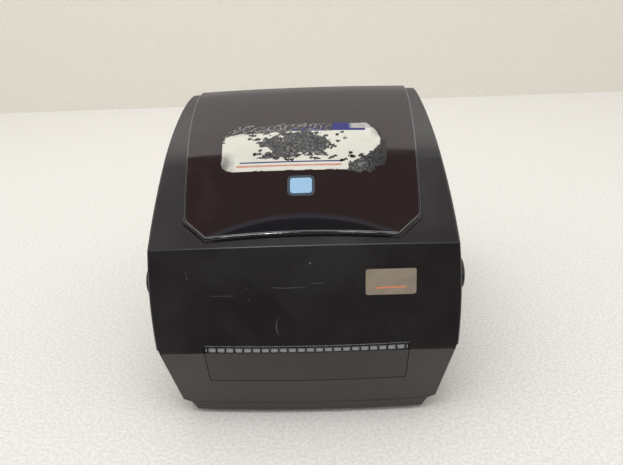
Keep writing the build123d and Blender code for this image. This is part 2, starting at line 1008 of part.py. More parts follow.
# Label roll bay: deck, roll holders and label guides, each pair on racks round one pinion
roll_y = front + roll_back
guide_y = front + guide_back
guide_rack_top = deck_front_low - rack_drop
holder_rack_top = deck_floor_low - rack_drop


def rack_line(teeth):
    """Distance from a pinion's axis to the far side of its rack."""
    return teeth * rack_module / 2 + 1.25 * rack_module + rack_body


def add_rack(side, teeth, middle_y, top, reach):
    """Add the rack of one slider, right one behind the pinion and left one before it."""
    pitch = pi * rack_module
    half_tooth = (pitch / 2 - rack_backlash) / 2
    flank = tan(radians(20))
    root = teeth * rack_module / 2 + 1.25 * rack_module
    tip = teeth * rack_module / 2 - 0.9 * rack_module
    line = teeth * rack_module / 2
    wide = half_tooth + (root - line) * flank
    narrow = half_tooth - (line - tip) * flank
    first = ceil((wide - rack_end) / pitch - 0.5)
    last = floor((reach - wide) / pitch - 0.5)
    with BuildSketch(Plane.XY.offset(top - rack_height)) as blank:
        with Locations(((reach - rack_end) / 2 * side, middle_y + side * (root + rack_body / 2))):
            Rectangle(reach + rack_end, rack_body)
        for tooth in range(first, last + 1):
            centre = (tooth + 0.5) * pitch
            with BuildLine():
                Polyline(
                    (side * (centre - wide), middle_y + side * root),
                    (side * (centre - narrow), middle_y + side * tip),
                    (side * (centre + narrow), middle_y + side * tip),
                    (side * (centre + wide), middle_y + side * root),
                    close=True,
                )
            make_face()
    extrude(blank.sketch, amount=rack_height)


with BuildPart() as media_deck:
    block(
        (-deck_front_half, deck_front_half),
        (front + deck_front_back, front + deck_riser_back + deck_thickness),
        (deck_front_low, deck_front_top),
    )
    block(
        (-deck_half, deck_half),
        (front + deck_riser_back, front + deck_rear_back),
        (deck_floor_low, deck_front_top),
    )
    block(
        (-deck_half + deck_thickness, deck_half - deck_thickness),
        (front + deck_riser_back + deck_thickness, front + deck_rear_back - deck_thickness),
        (deck_floor_top, deck_front_top),
        mode=Mode.SUBTRACT,
    )
    block(
        (-sensor_travel - sensor_width / 2 - 1, sensor_travel + sensor_width / 2 + 1),
        (
            sensor_y - sensor_length / 2 - slot_clearance,
            sensor_y + sensor_length / 2 + slot_clearance,
        ),
        (deck_front_low, deck_front_top),
        mode=Mode.SUBTRACT,
    )
    for side in (-1, 1):
        for teeth, middle_y, gap, travel, level in (
            (guide_pinion_teeth, guide_y, guide_gap, guide_travel, deck_front_low),
            (holder_pinion_teeth, roll_y, holder_gap, holder_travel, deck_floor_low),
        ):
            far = middle_y + side * (rack_line(teeth) + slot_clearance)
            near = middle_y + side * (rack_line(teeth) - rack_body - slot_clearance)
            block(
                span(side, gap - travel - 1, gap + neck_width + 1),
                (min(near, far), max(near, far)),
                (level, level + deck_thickness),
                mode=Mode.SUBTRACT,
            )
    for middle_y, top, low in (
        (guide_y, guide_rack_top, deck_front_low),
        (roll_y, holder_rack_top, deck_floor_low),
    ):
        post(0, middle_y, (top + running_gap, low), 2 * pinion_stud_radius)
        post(0, middle_y, (top - rack_height - 1, low), pinion_stud_radius)
media_deck.part.label = "media_deck"
export_step(media_deck.part, "parts/media_deck.step")

for teeth, middle_y, top, name in (
    (guide_pinion_teeth, guide_y, guide_rack_top, "guide_pinion"),
    (holder_pinion_teeth, roll_y, holder_rack_top, "holder_pinion"),
):
    with BuildPart() as slide_pinion:
        pinion_plane = Plane(origin=(0, middle_y, top - rack_height))
        add_gear(pinion_plane, teeth, rack_height, rack_module, 90.0, rack_backlash)
        post(
            0,
            middle_y,
            (top - rack_height - 1, top + 1),
            pinion_stud_radius + close_fit,
            Mode.SUBTRACT,
        )
    slide_pinion.part.label = name
    export_step(slide_pinion.part, f"parts/{name}.step")

for side, hand in ((-1, "left"), (1, "right")):
    with BuildPart() as roll_holder:
        rack_y = roll_y + side * (rack_line(holder_pinion_teeth) - rack_body / 2)
        arm = span(side, holder_gap, holder_gap + holder_arm)
        add_rack(side, holder_pinion_teeth, roll_y, holder_rack_top, holder_gap + neck_width)
        block(
            span(side, holder_gap, holder_gap + neck_width),
            (rack_y - rack_body / 2, rack_y + rack_body / 2),
            (holder_rack_top - 1, deck_floor_top + running_gap + 1),
        )
        block(
            arm,
            (roll_y - holder_arm_width / 2, roll_y + holder_arm_width / 2),
            (deck_floor_top + running_gap, roll_height),
        )
        bar(arm, roll_y, roll_height, holder_disc_radius)
        bar(
            span(side, holder_gap - holder_hub_length, holder_gap),
            roll_y,
            roll_height,
            holder_hub_radius,
        )
        bar(
            span(side, holder_gap - holder_hub_length - 1, holder_gap - holder_wall),
            roll_y,
            roll_height,
            holder_hub_radius - holder_wall,
            Mode.SUBTRACT,
        )
        block(
            span(side, holder_gap + holder_wall, holder_gap + holder_arm + 1),
            (
                roll_y - holder_arm_width / 2 + holder_rim,
                roll_y + holder_arm_width / 2 - holder_rim,
            ),
            (deck_floor_top + holder_foot, roll_height - holder_disc_radius),
            mode=Mode.SUBTRACT,
        )
    roll_holder.part.label = f"roll_holder_{hand}"
    export_step(roll_holder.part, f"parts/roll_holder_{hand}.step")

for side, hand in ((-1, "left"), (1, "right")):
    with BuildPart() as label_guide:
        rack_y = guide_y + side * (rack_line(guide_pinion_teeth) - rack_body / 2)
        add_rack(side, guide_pinion_teeth, guide_y, guide_rack_top, guide_gap + neck_width)
        block(
            span(side, guide_gap, guide_gap + neck_width),
            (rack_y - rack_body / 2, rack_y + rack_body / 2),
            (guide_rack_top - 1, deck_front_top + running_gap + 1),
        )
        block(
            span(side, guide_gap, guide_gap + neck_width),
            (guide_y - guide_length / 2, guide_y + guide_length / 2),
            (deck_front_top + running_gap, deck_front_top + running_gap + guide_wall),
        )
        block(
            span(side, guide_gap, guide_gap + guide_wall),
            (guide_y - guide_length / 2, guide_y + guide_length / 2),
            (deck_front_top + running_gap, deck_front_top + guide_height),
        )
    label_guide.part.label = f"label_guide_{hand}"
    export_step(label_guide.part, f"parts/label_guide_{hand}.step")

# Electronics: main board and what stands on it
board_top = board_height + board_thickness

with BuildPart() as main_board:
    block(
        (-board_half, board_half),
        (front + board_front, front + board_back),
        (board_height, board_top),
    )
    for x, y in board_post_places:
        post(x, y, (board_height, board_top), screw_radius + close_fit, Mode.SUBTRACT)
main_board.part.label = "main_board"
export_step(main_board.part, "parts/main_board.step")

with BuildPart() as board_components:
    for x, back, width, length, height in board_chips:
        block(
            (x - width / 2, x + width / 2),
            (front + back - length / 2, front + back + length / 2),
            (board_top, board_top + height),
        )
    for x, back, radius, height in board_cans:
        post(x, front + back, (board_top, board_top + height), radius)
board_components.part.label = "board_components"
export_step(board_components.part, "parts/board_components.step")

# Rear panel, its sockets and the power switch
socket_face = rear - socket_inset
switch_opening_half = rocker_half_width + running_gap
pivot_rocker_y = wall_face - rocker_depth

with BuildPart() as rear_panel:
    block((-panel_half, panel_half), (panel_front, wall_face), (panel_low, panel_high))
    for x, low, high, half in (
        (serial_x, board_top, board_top + serial_height, serial_half),
        (usb_x, board_top, board_top + usb_height, usb_half),
        (jack_x, board_top, board_top + jack_height, jack_half),
        (switch_x, switch_low, switch_high, switch_half),
    ):
        block(
            (x - half - close_fit, x + half + close_fit),
            (panel_front, wall_face),
            (low - close_fit, high + close_fit),
            mode=Mode.SUBTRACT,
        )
rear_panel.part.label = "rear_panel"
export_step(rear_panel.part, "parts/rear_panel.step")

with BuildPart() as serial_socket:
    middle = board_top + serial_height / 2
    block(
        (serial_x - serial_half, serial_x + serial_half),
        (panel_front - serial_depth, wall_face),
        (board_top, board_top + serial_height),
    )
    with BuildSketch(Plane.XZ.offset(-wall_face)):
        with Locations((serial_x, middle)):
            Trapezoid(serial_shell_width, serial_shell_height, serial_slant, rotation=180)
    extrude(amount=-(socket_face - wall_face))
    with BuildSketch(Plane.XZ.offset(-socket_face)):
        with Locations((serial_x, middle)):
            Trapezoid(
                serial_shell_width - 2 * serial_rim,
                serial_shell_height - 2 * serial_rim,
                serial_slant,
                rotation=180,
            )
    extrude(amount=socket_face - wall_face + serial_well, mode=Mode.SUBTRACT)
    for row, count in ((1, 5), (-1, 4)):
        for n in range(count):
            pin_x = serial_x + serial_pin_pitch * (n - (count - 1) / 2)
            with Locations((pin_x, wall_face, middle + row * serial_row_rise)):
                Cylinder(serial_pin_radius, serial_pin_length, rotation=(90, 0, 0))
    for side in (-1, 1):
        with BuildSketch(Plane.XZ.offset(-wall_face)):
            with Locations((serial_x + side * serial_nut_out, middle)):
                RegularPolygon(serial_nut_radius, 6)
        extrude(amount=-(socket_face - wall_face))
serial_socket.part.label = "serial_socket"
export_step(serial_socket.part, "parts/serial_socket.step")

with BuildPart() as usb_socket:
    middle = board_top + usb_height / 2
    block(
        (usb_x - usb_half, usb_x + usb_half),
        (panel_front - usb_depth, socket_face),
        (board_top, board_top + usb_height),
    )
    block(
        (usb_x - usb_half + usb_wall, usb_x + usb_half - usb_wall),
        (socket_face - socket_well, socket_face),
        (board_top + usb_wall, board_top + usb_height - usb_wall),
        mode=Mode.SUBTRACT,
    )
    block(
        (usb_x - usb_tongue_half, usb_x + usb_tongue_half),
        (socket_face - socket_well, socket_face - 1),
        (middle - usb_tongue_rise, middle + usb_tongue_rise),
    )
usb_socket.part.label = "usb_socket"
export_step(usb_socket.part, "parts/usb_socket.step")

with BuildPart() as power_inlet:
    middle = board_top + jack_height / 2
    block(
        (jack_x - jack_half, jack_x + jack_half),
        (panel_front - jack_depth, socket_face),
        (board_top, board_top + jack_height),
    )
    with Locations((jack_x, socket_face - socket_well / 2, middle)):
        Cylinder(jack_bore_radius, socket_well, rotation=(90, 0, 0), mode=Mode.SUBTRACT)
    with Locations((jack_x, socket_face - socket_well / 2 - 1, middle)):
        Cylinder(jack_pin_radius, socket_well - 1, rotation=(90, 0, 0))
power_inlet.part.label = "power_inlet"
export_step(power_inlet.part, "parts/power_inlet.step")

rocker_z = (switch_low + switch_high) / 2

with BuildPart() as switch_housing:
    block(
        (switch_x - switch_half, switch_x + switch_half),
        (panel_front - switch_depth, wall_face),
        (switch_low, switch_high),
    )
    block(
        (switch_x - switch_half - switch_flange, switch_x + switch_half + switch_flange),
        (wall_face, wall_face + switch_flange),
        (switch_low - switch_flange, switch_high + switch_flange),
    )
    block(
        (switch_x - switch_opening_half, switch_x + switch_opening_half),
        (pivot_rocker_y - rocker_depth, wall_face + switch_flange),
        (rocker_z - rocker_half_height - rocker_room, rocker_z + rocker_half_height + rocker_room),
        mode=Mode.SUBTRACT,
    )
    bar(
        (switch_x - switch_half + rocker_pin_wall, switch_x + switch_half - rocker_pin_wall),
        pivot_rocker_y,
        rocker_z,
        rocker_pin_radius + close_fit,
        Mode.SUBTRACT,
    )
switch_housing.part.label = "switch_housing"
export_step(switch_housing.part, "parts/switch_housing.step")

with BuildPart() as power_rocker:
    with BuildSketch(Plane.YZ.offset(switch_x)) as rocker_side:
        with BuildLine():
            Polyline(
                (pivot_rocker_y - rocker_depth / 3, rocker_z - rocker_half_height / 2),
                (pivot_rocker_y + rocker_depth - rocker_dip, rocker_z - rocker_half_height),
                (pivot_rocker_y + rocker_depth, rocker_z - rocker_half_height),
                (pivot_rocker_y + rocker_depth - rocker_dip, rocker_z),
                (pivot_rocker_y + rocker_depth, rocker_z + rocker_half_height),
                (pivot_rocker_y + rocker_depth - rocker_dip, rocker_z + rocker_half_height),
                (pivot_rocker_y - rocker_depth / 3, rocker_z + rocker_half_height / 2),
                close=True,
            )
        make_face()
    extrude(amount=rocker_half_width, both=True)
    bar(
        (switch_x - rocker_half_width - 1, switch_x + rocker_half_width + 1),
        pivot_rocker_y,
        rocker_z,
        rocker_pin_radius,
    )
rocker_axis = Axis((switch_x, pivot_rocker_y, rocker_z), (1, 0, 0))
tilted_rocker = power_rocker.part.rotate(rocker_axis, rocker_tilt)
tilted_rocker.label = "power_rocker"
export_step(tilted_rocker, "parts/power_rocker.step")

# Lid: shell, with its window seat, mouth, hinge knuckles, latch holes and chassis posts
latch_y = front + latch_back
take_up_y = front + take_up_back
supply_y = front + supply_back
cheek_out = cheek_in + cheek_thickness
knuckle_in = ear_in + ear_width + ear_gap
chassis_posts = [(front + back, height) for back, height in chassis_post_spots]

with BuildPart() as window_pocket:
    extrude(window_outline(window_gap), amount=2 * body_height)
    add(lid_form(window_seat, parting_height), mode=Mode.SUBTRACT)
    block(
        (-body_width, body_width),
        (-body_depth, body_depth),
        (crease_height - window_seat, 2 * body_height),
        mode=Mode.INTERSECT,
    )

with BuildPart() as lid_posts:
    for y, z in chassis_posts:
        for side in (-1, 1):
            bar(span(side, cheek_out, half_width), y, z, chassis_post_radius)
    add(lid_form(1.0, parting_height), mode=Mode.INTERSECT)
    for y, z in chassis_posts:
        for side in (-1, 1):
            bar(
                span(side, cheek_out - 1, cheek_out + screw_length),
                y,
                z,
                screw_radius + close_fit,
                Mode.SUBTRACT,
            )

with BuildPart() as lid_shell:
    add(lid_form(0.0, lid_bottom))
    corners = [
        edge
        for edge in lid_shell.edges()
        if abs(edge.center().X) > window_half and edge.center().Z > lid_bottom + 1
    ]
    fillet(corners, corner_radius)
    add(lid_form(lid_wall, lid_bottom - lid_wall), mode=Mode.SUBTRACT)
    add(window_pocket.part, mode=Mode.SUBTRACT)
    extrude(window_opening(), amount=2 * body_height, mode=Mode.SUBTRACT)
    block(
        (-mouth_half, mouth_half),
        (front - 1, front + front_lean),
        (lid_bottom - 1, mouth_lip),
        mode=Mode.SUBTRACT,
    )
    add(
        front_skin(
            blade_depth - close_fit,
            2 * lid_wall,
            mouth_half + close_fit,
            lid_bottom - 1,
            blade_top + close_fit,
        ),
        mode=Mode.SUBTRACT,
    )
    block(
        (-body_width, body_width),
        (pivot_y, rear + 1),
        (lid_bottom - 1, fan_slot_top),
        mode=Mode.SUBTRACT,
    )
    add(lid_posts.part)
    for side in (-1, 1):
        knuckle = span(side, knuckle_in, knuckle_in + knuckle_width)
        bar(knuckle, pivot_y, hinge_height, hinge_eye_radius)
        block(
            knuckle,
            (pivot_y, rear - 1),
            (hinge_height - hinge_eye_radius + 1, hinge_height + hinge_eye_radius),
        )
        bar(knuckle, pivot_y, hinge_height, hinge_pin_radius + close_fit, Mode.SUBTRACT)
        block(
            span(side, ear_in - ear_gap, ear_in + ear_width + ear_gap),
            (pivot_y, rear + 1),
            (lid_bottom - 1, ear_notch_height),
            mode=Mode.SUBTRACT,
        )
    bar(
        (-body_width, body_width),
        latch_y,
        latch_height,
        latch_shaft_radius + running_gap,
        Mode.SUBTRACT,
    )
lid_shell.part.label = "lid_shell"
export_step(lid_shell.part, "parts/lid_shell.step")

with BuildPart() as hinge_pins:
    for side in (-1, 1):
        bar(
            span(side, ear_in - 1, knuckle_in + knuckle_width + 1),
            pivot_y,
            hinge_height,
            hinge_pin_radius,
        )
hinge_pins.part.label = "hinge_pins"
export_step(hinge_pins.part, "parts/hinge_pins.step")

# Window, feed button and what holds it
bezel_width = button_width + 2 * running_gap + 2 * bezel_rim
bezel_height = button_height + 2 * running_gap + 2 * bezel_rim
window_under = window_seat - window_lift
button_plane = slope_plane(button_along, 0)

with BuildPart() as lid_window:
    extrude(window_outline(0), amount=2 * body_height)
    add(lid_form(-window_rise, parting_height), mode=Mode.INTERSECT)
    add(lid_form(window_under, parting_height), mode=Mode.SUBTRACT)
    block(
        (-body_width, body_width),
        (-body_depth, body_depth),
        (crease_height - window_seat, 2 * body_height),
        mode=Mode.INTERSECT,
    )
    with BuildSketch(button_plane):
        RectangleRounded(
            bezel_width + 2 * close_fit,
            bezel_height + 2 * close_fit,
            button_corner + bezel_rim,
        )
    extrude(amount=4 * window_rise, both=True, mode=Mode.SUBTRACT)
lid_window.part.label = "lid_window"
export_step(lid_window.part, "parts/lid_window.step")

bezel_under = -window_under - bezel_seat

with BuildPart() as button_bezel:
    with BuildSketch(slope_plane(button_along, bezel_under)):
        RectangleRounded(bezel_width, bezel_height, button_corner + bezel_rim)
    extrude(amount=window_rise + bezel_proud - bezel_under)
    with BuildSketch(slope_plane(button_along, bezel_under - bezel_flange_depth)):
        RectangleRounded(
            bezel_width + 2 * bezel_flange, bezel_height + 2 * bezel_flange, button_corner
        )
    extrude(amount=bezel_flange_depth)
    with BuildSketch(slope_plane(button_along, bezel_under - bezel_flange_depth)):
        RectangleRounded(
            button_width + 2 * running_gap,
            button_height + 2 * running_gap,
            button_corner + running_gap,
        )
    extrude(amount=4 * window_rise + bezel_flange_depth, mode=Mode.SUBTRACT)
    with BuildSketch(slope_plane(button_along, bezel_under - bezel_flange_depth - bezel_leg)):
        with GridLocations(
            bezel_width + bezel_flange, bezel_height + bezel_flange, 2, 2
        ):
            Circle(bezel_flange / 2)
    extrude(amount=bezel_leg)
button_bezel.part.label = "button_bezel"
export_step(button_bezel.part, "parts/button_bezel.step")

cap_under = bezel_under - bezel_flange_depth - running_gap

with BuildPart() as feed_button:
    with BuildSketch(slope_plane(button_along, cap_under)):
        RectangleRounded(button_width, button_height, button_corner)
    extrude(amount=window_rise + button_proud - cap_under)
    cap_face = feed_button.faces().sort_by(Axis(button_plane.origin, button_plane.z_dir))[-1]
    fillet(cap_face.edges(), button_edge)
    with BuildSketch(slope_plane(button_along, cap_under - bezel_flange_depth)):
        RectangleRounded(
            button_width + bezel_flange, button_height + bezel_flange, button_corner
        )
    extrude(amount=bezel_flange_depth)
    with BuildSketch(slope_plane(button_along, cap_under - bezel_flange_depth - button_stem)):
        Circle(button_stem / 2)
    extrude(amount=button_stem)
feed_button.part.label = "feed_button"
export_step(feed_button.part, "parts/feed_button.step")

board_under = bezel_under - bezel_flange_depth - bezel_leg - board_thickness
stem_under = cap_under - bezel_flange_depth - button_stem

with BuildPart() as button_board:
    with BuildSketch(slope_plane(button_along, board_under)):
        Rectangle(bezel_width + 3 * bezel_flange, bezel_height + 3 * bezel_flange)
    extrude(amount=board_thickness)
    with BuildSketch(slope_plane(button_along, board_under + board_thickness)):
        Rectangle(button_switch, button_switch)
    extrude(amount=stem_under - button_travel - running_gap - board_under - board_thickness)
button_board.part.label = "button_board"
export_step(button_board.part, "parts/button_board.step")

# Name plate on the lid's front
with BuildPart() as name_plate:
    with BuildSketch(Plane.XZ.offset(-front - 2 * front_lean)):
        with Locations((plate_x, plate_z)):
            RectangleRounded(
                plate_width, plate_height * cos(front_angle), plate_corner, rotation=plate_tilt
            )
    extrude(amount=3 * front_lean)
    add(swept_form(-plate_rise), mode=Mode.INTERSECT)
    add(swept_form(-close_fit), mode=Mode.SUBTRACT)
name_plate.part.label = "name_plate"
export_step(name_plate.part, "parts/name_plate.step")

# Tear blade behind the mouth's upper lip
blade_half = mouth_half - close_fit
tooth_count = int(2 * blade_half / blade_pitch)

with BuildPart() as tear_blade:
    add(front_skin(blade_depth, blade_thickness, blade_half, blade_bottom, blade_top))
    with BuildSketch(Plane.XZ.offset(-front - front_lean)):
        with BuildLine():
            left_end = -tooth_count * blade_pitch / 2
            Polyline(
                (left_end, blade_bottom - 1),
                *[
                    (left_end + n * blade_pitch / 2, blade_bottom + blade_tooth * (n % 2))
                    for n in range(2 * tooth_count + 1)
                ],
                (-left_end, blade_bottom - 1),
                close=True,
            )
        make_face()
    extrude(amount=2 * front_lean, mode=Mode.SUBTRACT)
tear_blade.part.label = "tear_blade"
export_step(tear_blade.part, "parts/tear_blade.step")

# Latch: one shaft across the lid, with a hook and a thumb pad at each end
pad_face = half_width + running_gap
shaft_end = pad_face + latch_pad_out / 2

with BuildPart() as latch_shaft:
    bar((-shaft_end, shaft_end), latch_y, latch_height, latch_shaft_radius)
latch_shaft.part.label = "latch_shaft"
export_step(latch_shaft.part, "parts/latch_shaft.step")

with BuildPart() as latch_hooks:
    nose_tip = catch_y - catch_radius - running_gap
    nose_top = catch_height - catch_radius - running_gap
    for side in (-1, 1):
        hook_span = span(side, hook_in, hook_in + hook_thickness)
        with BuildSketch(Plane.YZ.offset(hook_span[0])):
            with BuildLine():
                Polyline(
                    (latch_y - hook_arm, latch_height),
                    (latch_y - hook_arm, nose_top - hook_arm),
                    (latch_y - hook_arm / 2, nose_top - hook_arm),
                    (nose_tip, nose_top - hook_arm / 2),
                    (nose_tip, nose_top),
                    (latch_y, nose_top),
                    (latch_y, latch_height),
                    close=True,
                )
            make_face()
        extrude(amount=hook_thickness)
        bar(hook_span, latch_y, latch_height, hook_eye_radius)
    bar(
        (-body_width, body_width),
        latch_y,
        latch_height,
        latch_shaft_radius + close_fit,
        Mode.SUBTRACT,
    )
latch_hooks.part.label = "latch_hooks"
export_step(latch_hooks.part, "parts/latch_hooks.step")

with BuildPart() as latch_pads:
    for side in (-1, 1):
        pad_span = span(side, pad_face, pad_face + latch_pad_out - running_gap)
        bar(pad_span, latch_y, latch_height, latch_pad_radius)
    for end in (0, -1):
        fillet(latch_pads.faces().sort_by(Axis.X)[end].edges(), pad_edge)
    bar(
        (-shaft_end - close_fit, shaft_end + close_fit),
        latch_y,
        latch_height,
        latch_shaft_radius + close_fit,
        Mode.SUBTRACT,
    )
latch_pads.part.label = "latch_pads"
export_step(latch_pads.part, "parts/latch_pads.step")

# Ribbon chassis: two cheeks, crossbar, guide rods and the screws that hold the cheeks
head_pivot_y = front + head_pivot_back
ribbon_motor_reach = (take_up_teeth + ribbon_pinion_teeth) * gear_module / 2
ribbon_motor_y = take_up_y + ribbon_motor_reach * cos(radians(ribbon_motor_angle))
ribbon_motor_z = take_up_height + ribbon_motor_reach * sin(radians(ribbon_motor_angle))
rod_places = [(front + back, height) for back, height in rod_spots]
bracket_feet = [(front + back, height) for back, height in bracket_foot_spots]

for side, hand in ((-1, "left"), (1, "right")):
    with BuildPart() as ribbon_cheek:
        with BuildSketch(Plane.YZ.offset(side * (cheek_in + cheek_thickness / 2))):
            with BuildLine():
                FilletPolyline(
                    *[(front + back, height) for back, height in cheek_outline],
                    radius=cheek_corner_radius,
                    close=True,
                )
            make_face()
        extrude(amount=cheek_thickness / 2, both=True)
        through = span(side, cheek_in - 1, cheek_out + 1)
        bar(through, take_up_y, take_up_height, journal_radius + close_fit, Mode.SUBTRACT)
        bar(through, supply_y, supply_height, journal_radius + close_fit, Mode.SUBTRACT)
        bar(through, latch_y, latch_height, latch_shaft_radius + running_gap, Mode.SUBTRACT)
        bar(through, head_pivot_y, head_pivot_height, head_pivot_radius + close_fit, Mode.SUBTRACT)
        for y, z in rod_places:
            bar(through, y, z, rod_radius + close_fit, Mode.SUBTRACT)
        for y, z in chassis_posts:
            bar(through, y, z, screw_radius + close_fit, Mode.SUBTRACT)
        bar(
            through,
            front + cheek_window_back,
            cheek_window_height,
            cheek_window_radius,
            Mode.SUBTRACT,
        )
    ribbon_cheek.part.label = f"ribbon_cheek_{hand}"
    export_step(ribbon_cheek.part, f"parts/ribbon_cheek_{hand}.step")

with BuildPart() as chassis_screws:
    for side in (-1, 1):
        for y, z in chassis_posts:
            bar(span(side, cheek_in, cheek_out + screw_length - 1), y, z, screw_radius)
            bar(span(side, cheek_in - screw_head_height, cheek_in), y, z, screw_head_radius)
chassis_screws.part.label = "chassis_screws"
export_step(chassis_screws.part, "parts/chassis_screws.step")

with BuildPart() as head_crossbar:
    block(
        (-cheek_in, cheek_in),
        (front + crossbar_back, front + crossbar_back + crossbar_size),
        (crossbar_low, crossbar_low + crossbar_size),
    )
    block(
        (-cheek_in, cheek_in),
        (front + crossbar_back + board_thickness, front + crossbar_back + crossbar_size),
        (crossbar_low + board_thickness, crossbar_low + crossbar_size),
        mode=Mode.SUBTRACT,
    )
head_crossbar.part.label = "head_crossbar"
export_step(head_crossbar.part, "parts/head_crossbar.step")

with BuildPart() as chassis_rods:
    for y, z in rod_places:
        bar((-cheek_out, cheek_out), y, z, rod_radius)
    bar((-cheek_out, cheek_out), head_pivot_y, head_pivot_height, head_pivot_radius)
chassis_rods.part.label = "chassis_rods"
export_step(chassis_rods.part, "parts/chassis_rods.step")

# Ribbon spindles, with the motor and gears that wind the take-up one
spindle_half = cheek_in - spindle_side_gap
gear_x = cheek_out + gear_side_gap / 2
bracket_x = gear_x + ribbon_gear_width + gear_side_gap

for name, y, z, right_end in (
    ("supply_spindle", supply_y, supply_height, cheek_out),
    ("take_up_spindle", take_up_y, take_up_height, bracket_x - gear_side_gap / 2),
):
    with BuildPart() as spindle:
        bar((-cheek_out, right_end), y, z, journal_radius)
        bar((-spindle_half, spindle_half), y, z, spindle_radius)
        for side in (-1, 1):
            bar(
                span(side, spindle_half - spindle_flange, spindle_half),
                y,
                z,
                spindle_flange_radius,
            )
        for turn in (90, 210, 330):
            with BuildSketch(axle_plane(-platen_half, y, z)):
                with PolarLocations(spindle_radius, 1, turn):
                    Rectangle(2 * (spindle_fin - spindle_radius), spindle_fin_width)
            extrude(amount=2 * platen_half)
    spindle.part.label = name
    export_step(spindle.part, f"parts/{name}.step")

with BuildPart() as take_up_gear:
    add_gear(axle_plane(gear_x, take_up_y, take_up_height), take_up_teeth, ribbon_gear_width)
    bar(
        (gear_x - 1, gear_x + ribbon_gear_width + 1),
        take_up_y,
        take_up_height,
        journal_radius + close_fit,
        Mode.SUBTRACT,
    )
take_up_gear.part.label = "take_up_gear"
export_step(take_up_gear.part, "parts/take_up_gear.step")

ribbon_pinion_turn = meshing_turn(take_up_teeth, 0.0, ribbon_motor_angle, ribbon_pinion_teeth)

with BuildPart() as ribbon_pinion:
    pinion_plane = axle_plane(gear_x, ribbon_motor_y, ribbon_motor_z)
    add_gear(pinion_plane, ribbon_pinion_teeth, ribbon_gear_width, turn=ribbon_pinion_turn)
    bar(
        (gear_x - 1, gear_x + ribbon_gear_width + 1),
        ribbon_motor_y,
        ribbon_motor_z,
        ribbon_shaft_radius + close_fit,
        Mode.SUBTRACT,
    )
ribbon_pinion.part.label = "ribbon_pinion"
export_step(ribbon_pinion.part, "parts/ribbon_pinion.step")

with BuildPart() as ribbon_motor_bracket:
    with BuildSketch(Plane.YZ.offset(bracket_x)):
        with BuildLine():
            FilletPolyline(
                *[(front + back, height) for back, height in bracket_outline],
                radius=bracket_corner,
                close=True,
            )
        make_face()
    extrude(amount=bracket_thickness)
    for y, z in bracket_feet:
        bar((cheek_out, bracket_x), y, z, bracket_foot_radius)
    bar(
        (bracket_x - 1, bracket_x + bracket_thickness + 1),
        ribbon_motor_y,
        ribbon_motor_z,
        ribbon_shaft_radius + running_gap,
        Mode.SUBTRACT,
    )
ribbon_motor_bracket.part.label = "ribbon_motor_bracket"
export_step(ribbon_motor_bracket.part, "parts/ribbon_motor_bracket.step")

with BuildPart() as ribbon_motor:
    motor_face = bracket_x + bracket_thickness
    bar(
        (motor_face, motor_face + ribbon_motor_length),
        ribbon_motor_y,
        ribbon_motor_z,
        ribbon_motor_radius,
    )
    chamfer(ribbon_motor.edges().group_by(Axis.X)[-1], 1)
    bar((gear_x, motor_face), ribbon_motor_y, ribbon_motor_z, ribbon_shaft_radius)
ribbon_motor.part.label = "ribbon_motor"
export_step(ribbon_motor.part, "parts/ribbon_motor.step")

# Print head on its sprung bracket
head_low = platen_height + platen_radius + head_gap
head_front = platen_y - head_length / 2 + head_ahead
sink_low = head_low + head_plate
bracket_low = sink_low + head_sink_height
bracket_top = bracket_low + head_plate

with BuildPart() as print_head:
    block(
        (-head_half, head_half),
        (head_front + head_plate, head_front + head_length - 2 * head_plate),
        (head_low, sink_low),
    )
print_head.part.label = "print_head"
export_step(print_head.part, "parts/print_head.step")

with BuildPart() as head_sink:
    block((-head_half, head_half), (head_front, head_front + head_length), (sink_low, bracket_low))
    for n in range(sink_groove_count):
        from_middle = sink_groove_pitch * (n - (sink_groove_count - 1) / 2)
        groove_y = head_front + head_length / 2 + from_middle
        block(
            (-head_half, head_half),
            (groove_y - sink_groove / 2, groove_y + sink_groove / 2),
            (sink_low + head_plate, bracket_low),
            mode=Mode.SUBTRACT,
        )
head_sink.part.label = "head_sink"
export_step(head_sink.part, "parts/head_sink.step")

with BuildPart() as head_bracket:
    block(
        (-head_half, head_half),
        (head_front, head_pivot_y + hinge_eye_radius),
        (bracket_low, bracket_top),
    )
    for side in (-1, 1):
        ear = span(side, head_half - head_plate, head_half)
        block(
            ear,
            (head_pivot_y - hinge_eye_radius, head_pivot_y + hinge_eye_radius),
            (bracket_low, head_pivot_height),
        )
        bar(ear, head_pivot_y, head_pivot_height, hinge_eye_radius)
        bar(ear, head_pivot_y, head_pivot_height, head_pivot_radius + close_fit, Mode.SUBTRACT)
head_bracket.part.label = "head_bracket"
export_step(head_bracket.part, "parts/head_bracket.step")

spring_low = bracket_top + head_spring_wire / 2 + close_fit
spring_high = crossbar_low - head_spring_wire / 2 - close_fit
spring_y = front + crossbar_back + crossbar_size / 2

with BuildPart() as head_springs:
    with BuildLine():
        spring_path = Helix(
            (spring_high - spring_low) / head_spring_turns,
            spring_high - spring_low,
            head_spring_radius,
            center=(head_spring_x, spring_y, spring_low),
        )
    with BuildSketch(Plane(origin=spring_path @ 0, z_dir=spring_path % 0)):
        Circle(head_spring_wire / 2)
    sweep(path=spring_path, is_frenet=True)
    mirror(about=Plane.YZ)
head_springs.part.label = "head_springs"
export_step(head_springs.part, "parts/head_springs.step")
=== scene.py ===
"""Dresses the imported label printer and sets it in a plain, softly lit studio."""

from __future__ import annotations

import logging
import math
import random
from abc import ABC, abstractmethod
from dataclasses import dataclass, field
from enum import Enum
from typing import Callable

import bmesh
import bpy
import numpy as np
from mathutils import Matrix, Vector
from mathutils.bvhtree import BVHTree


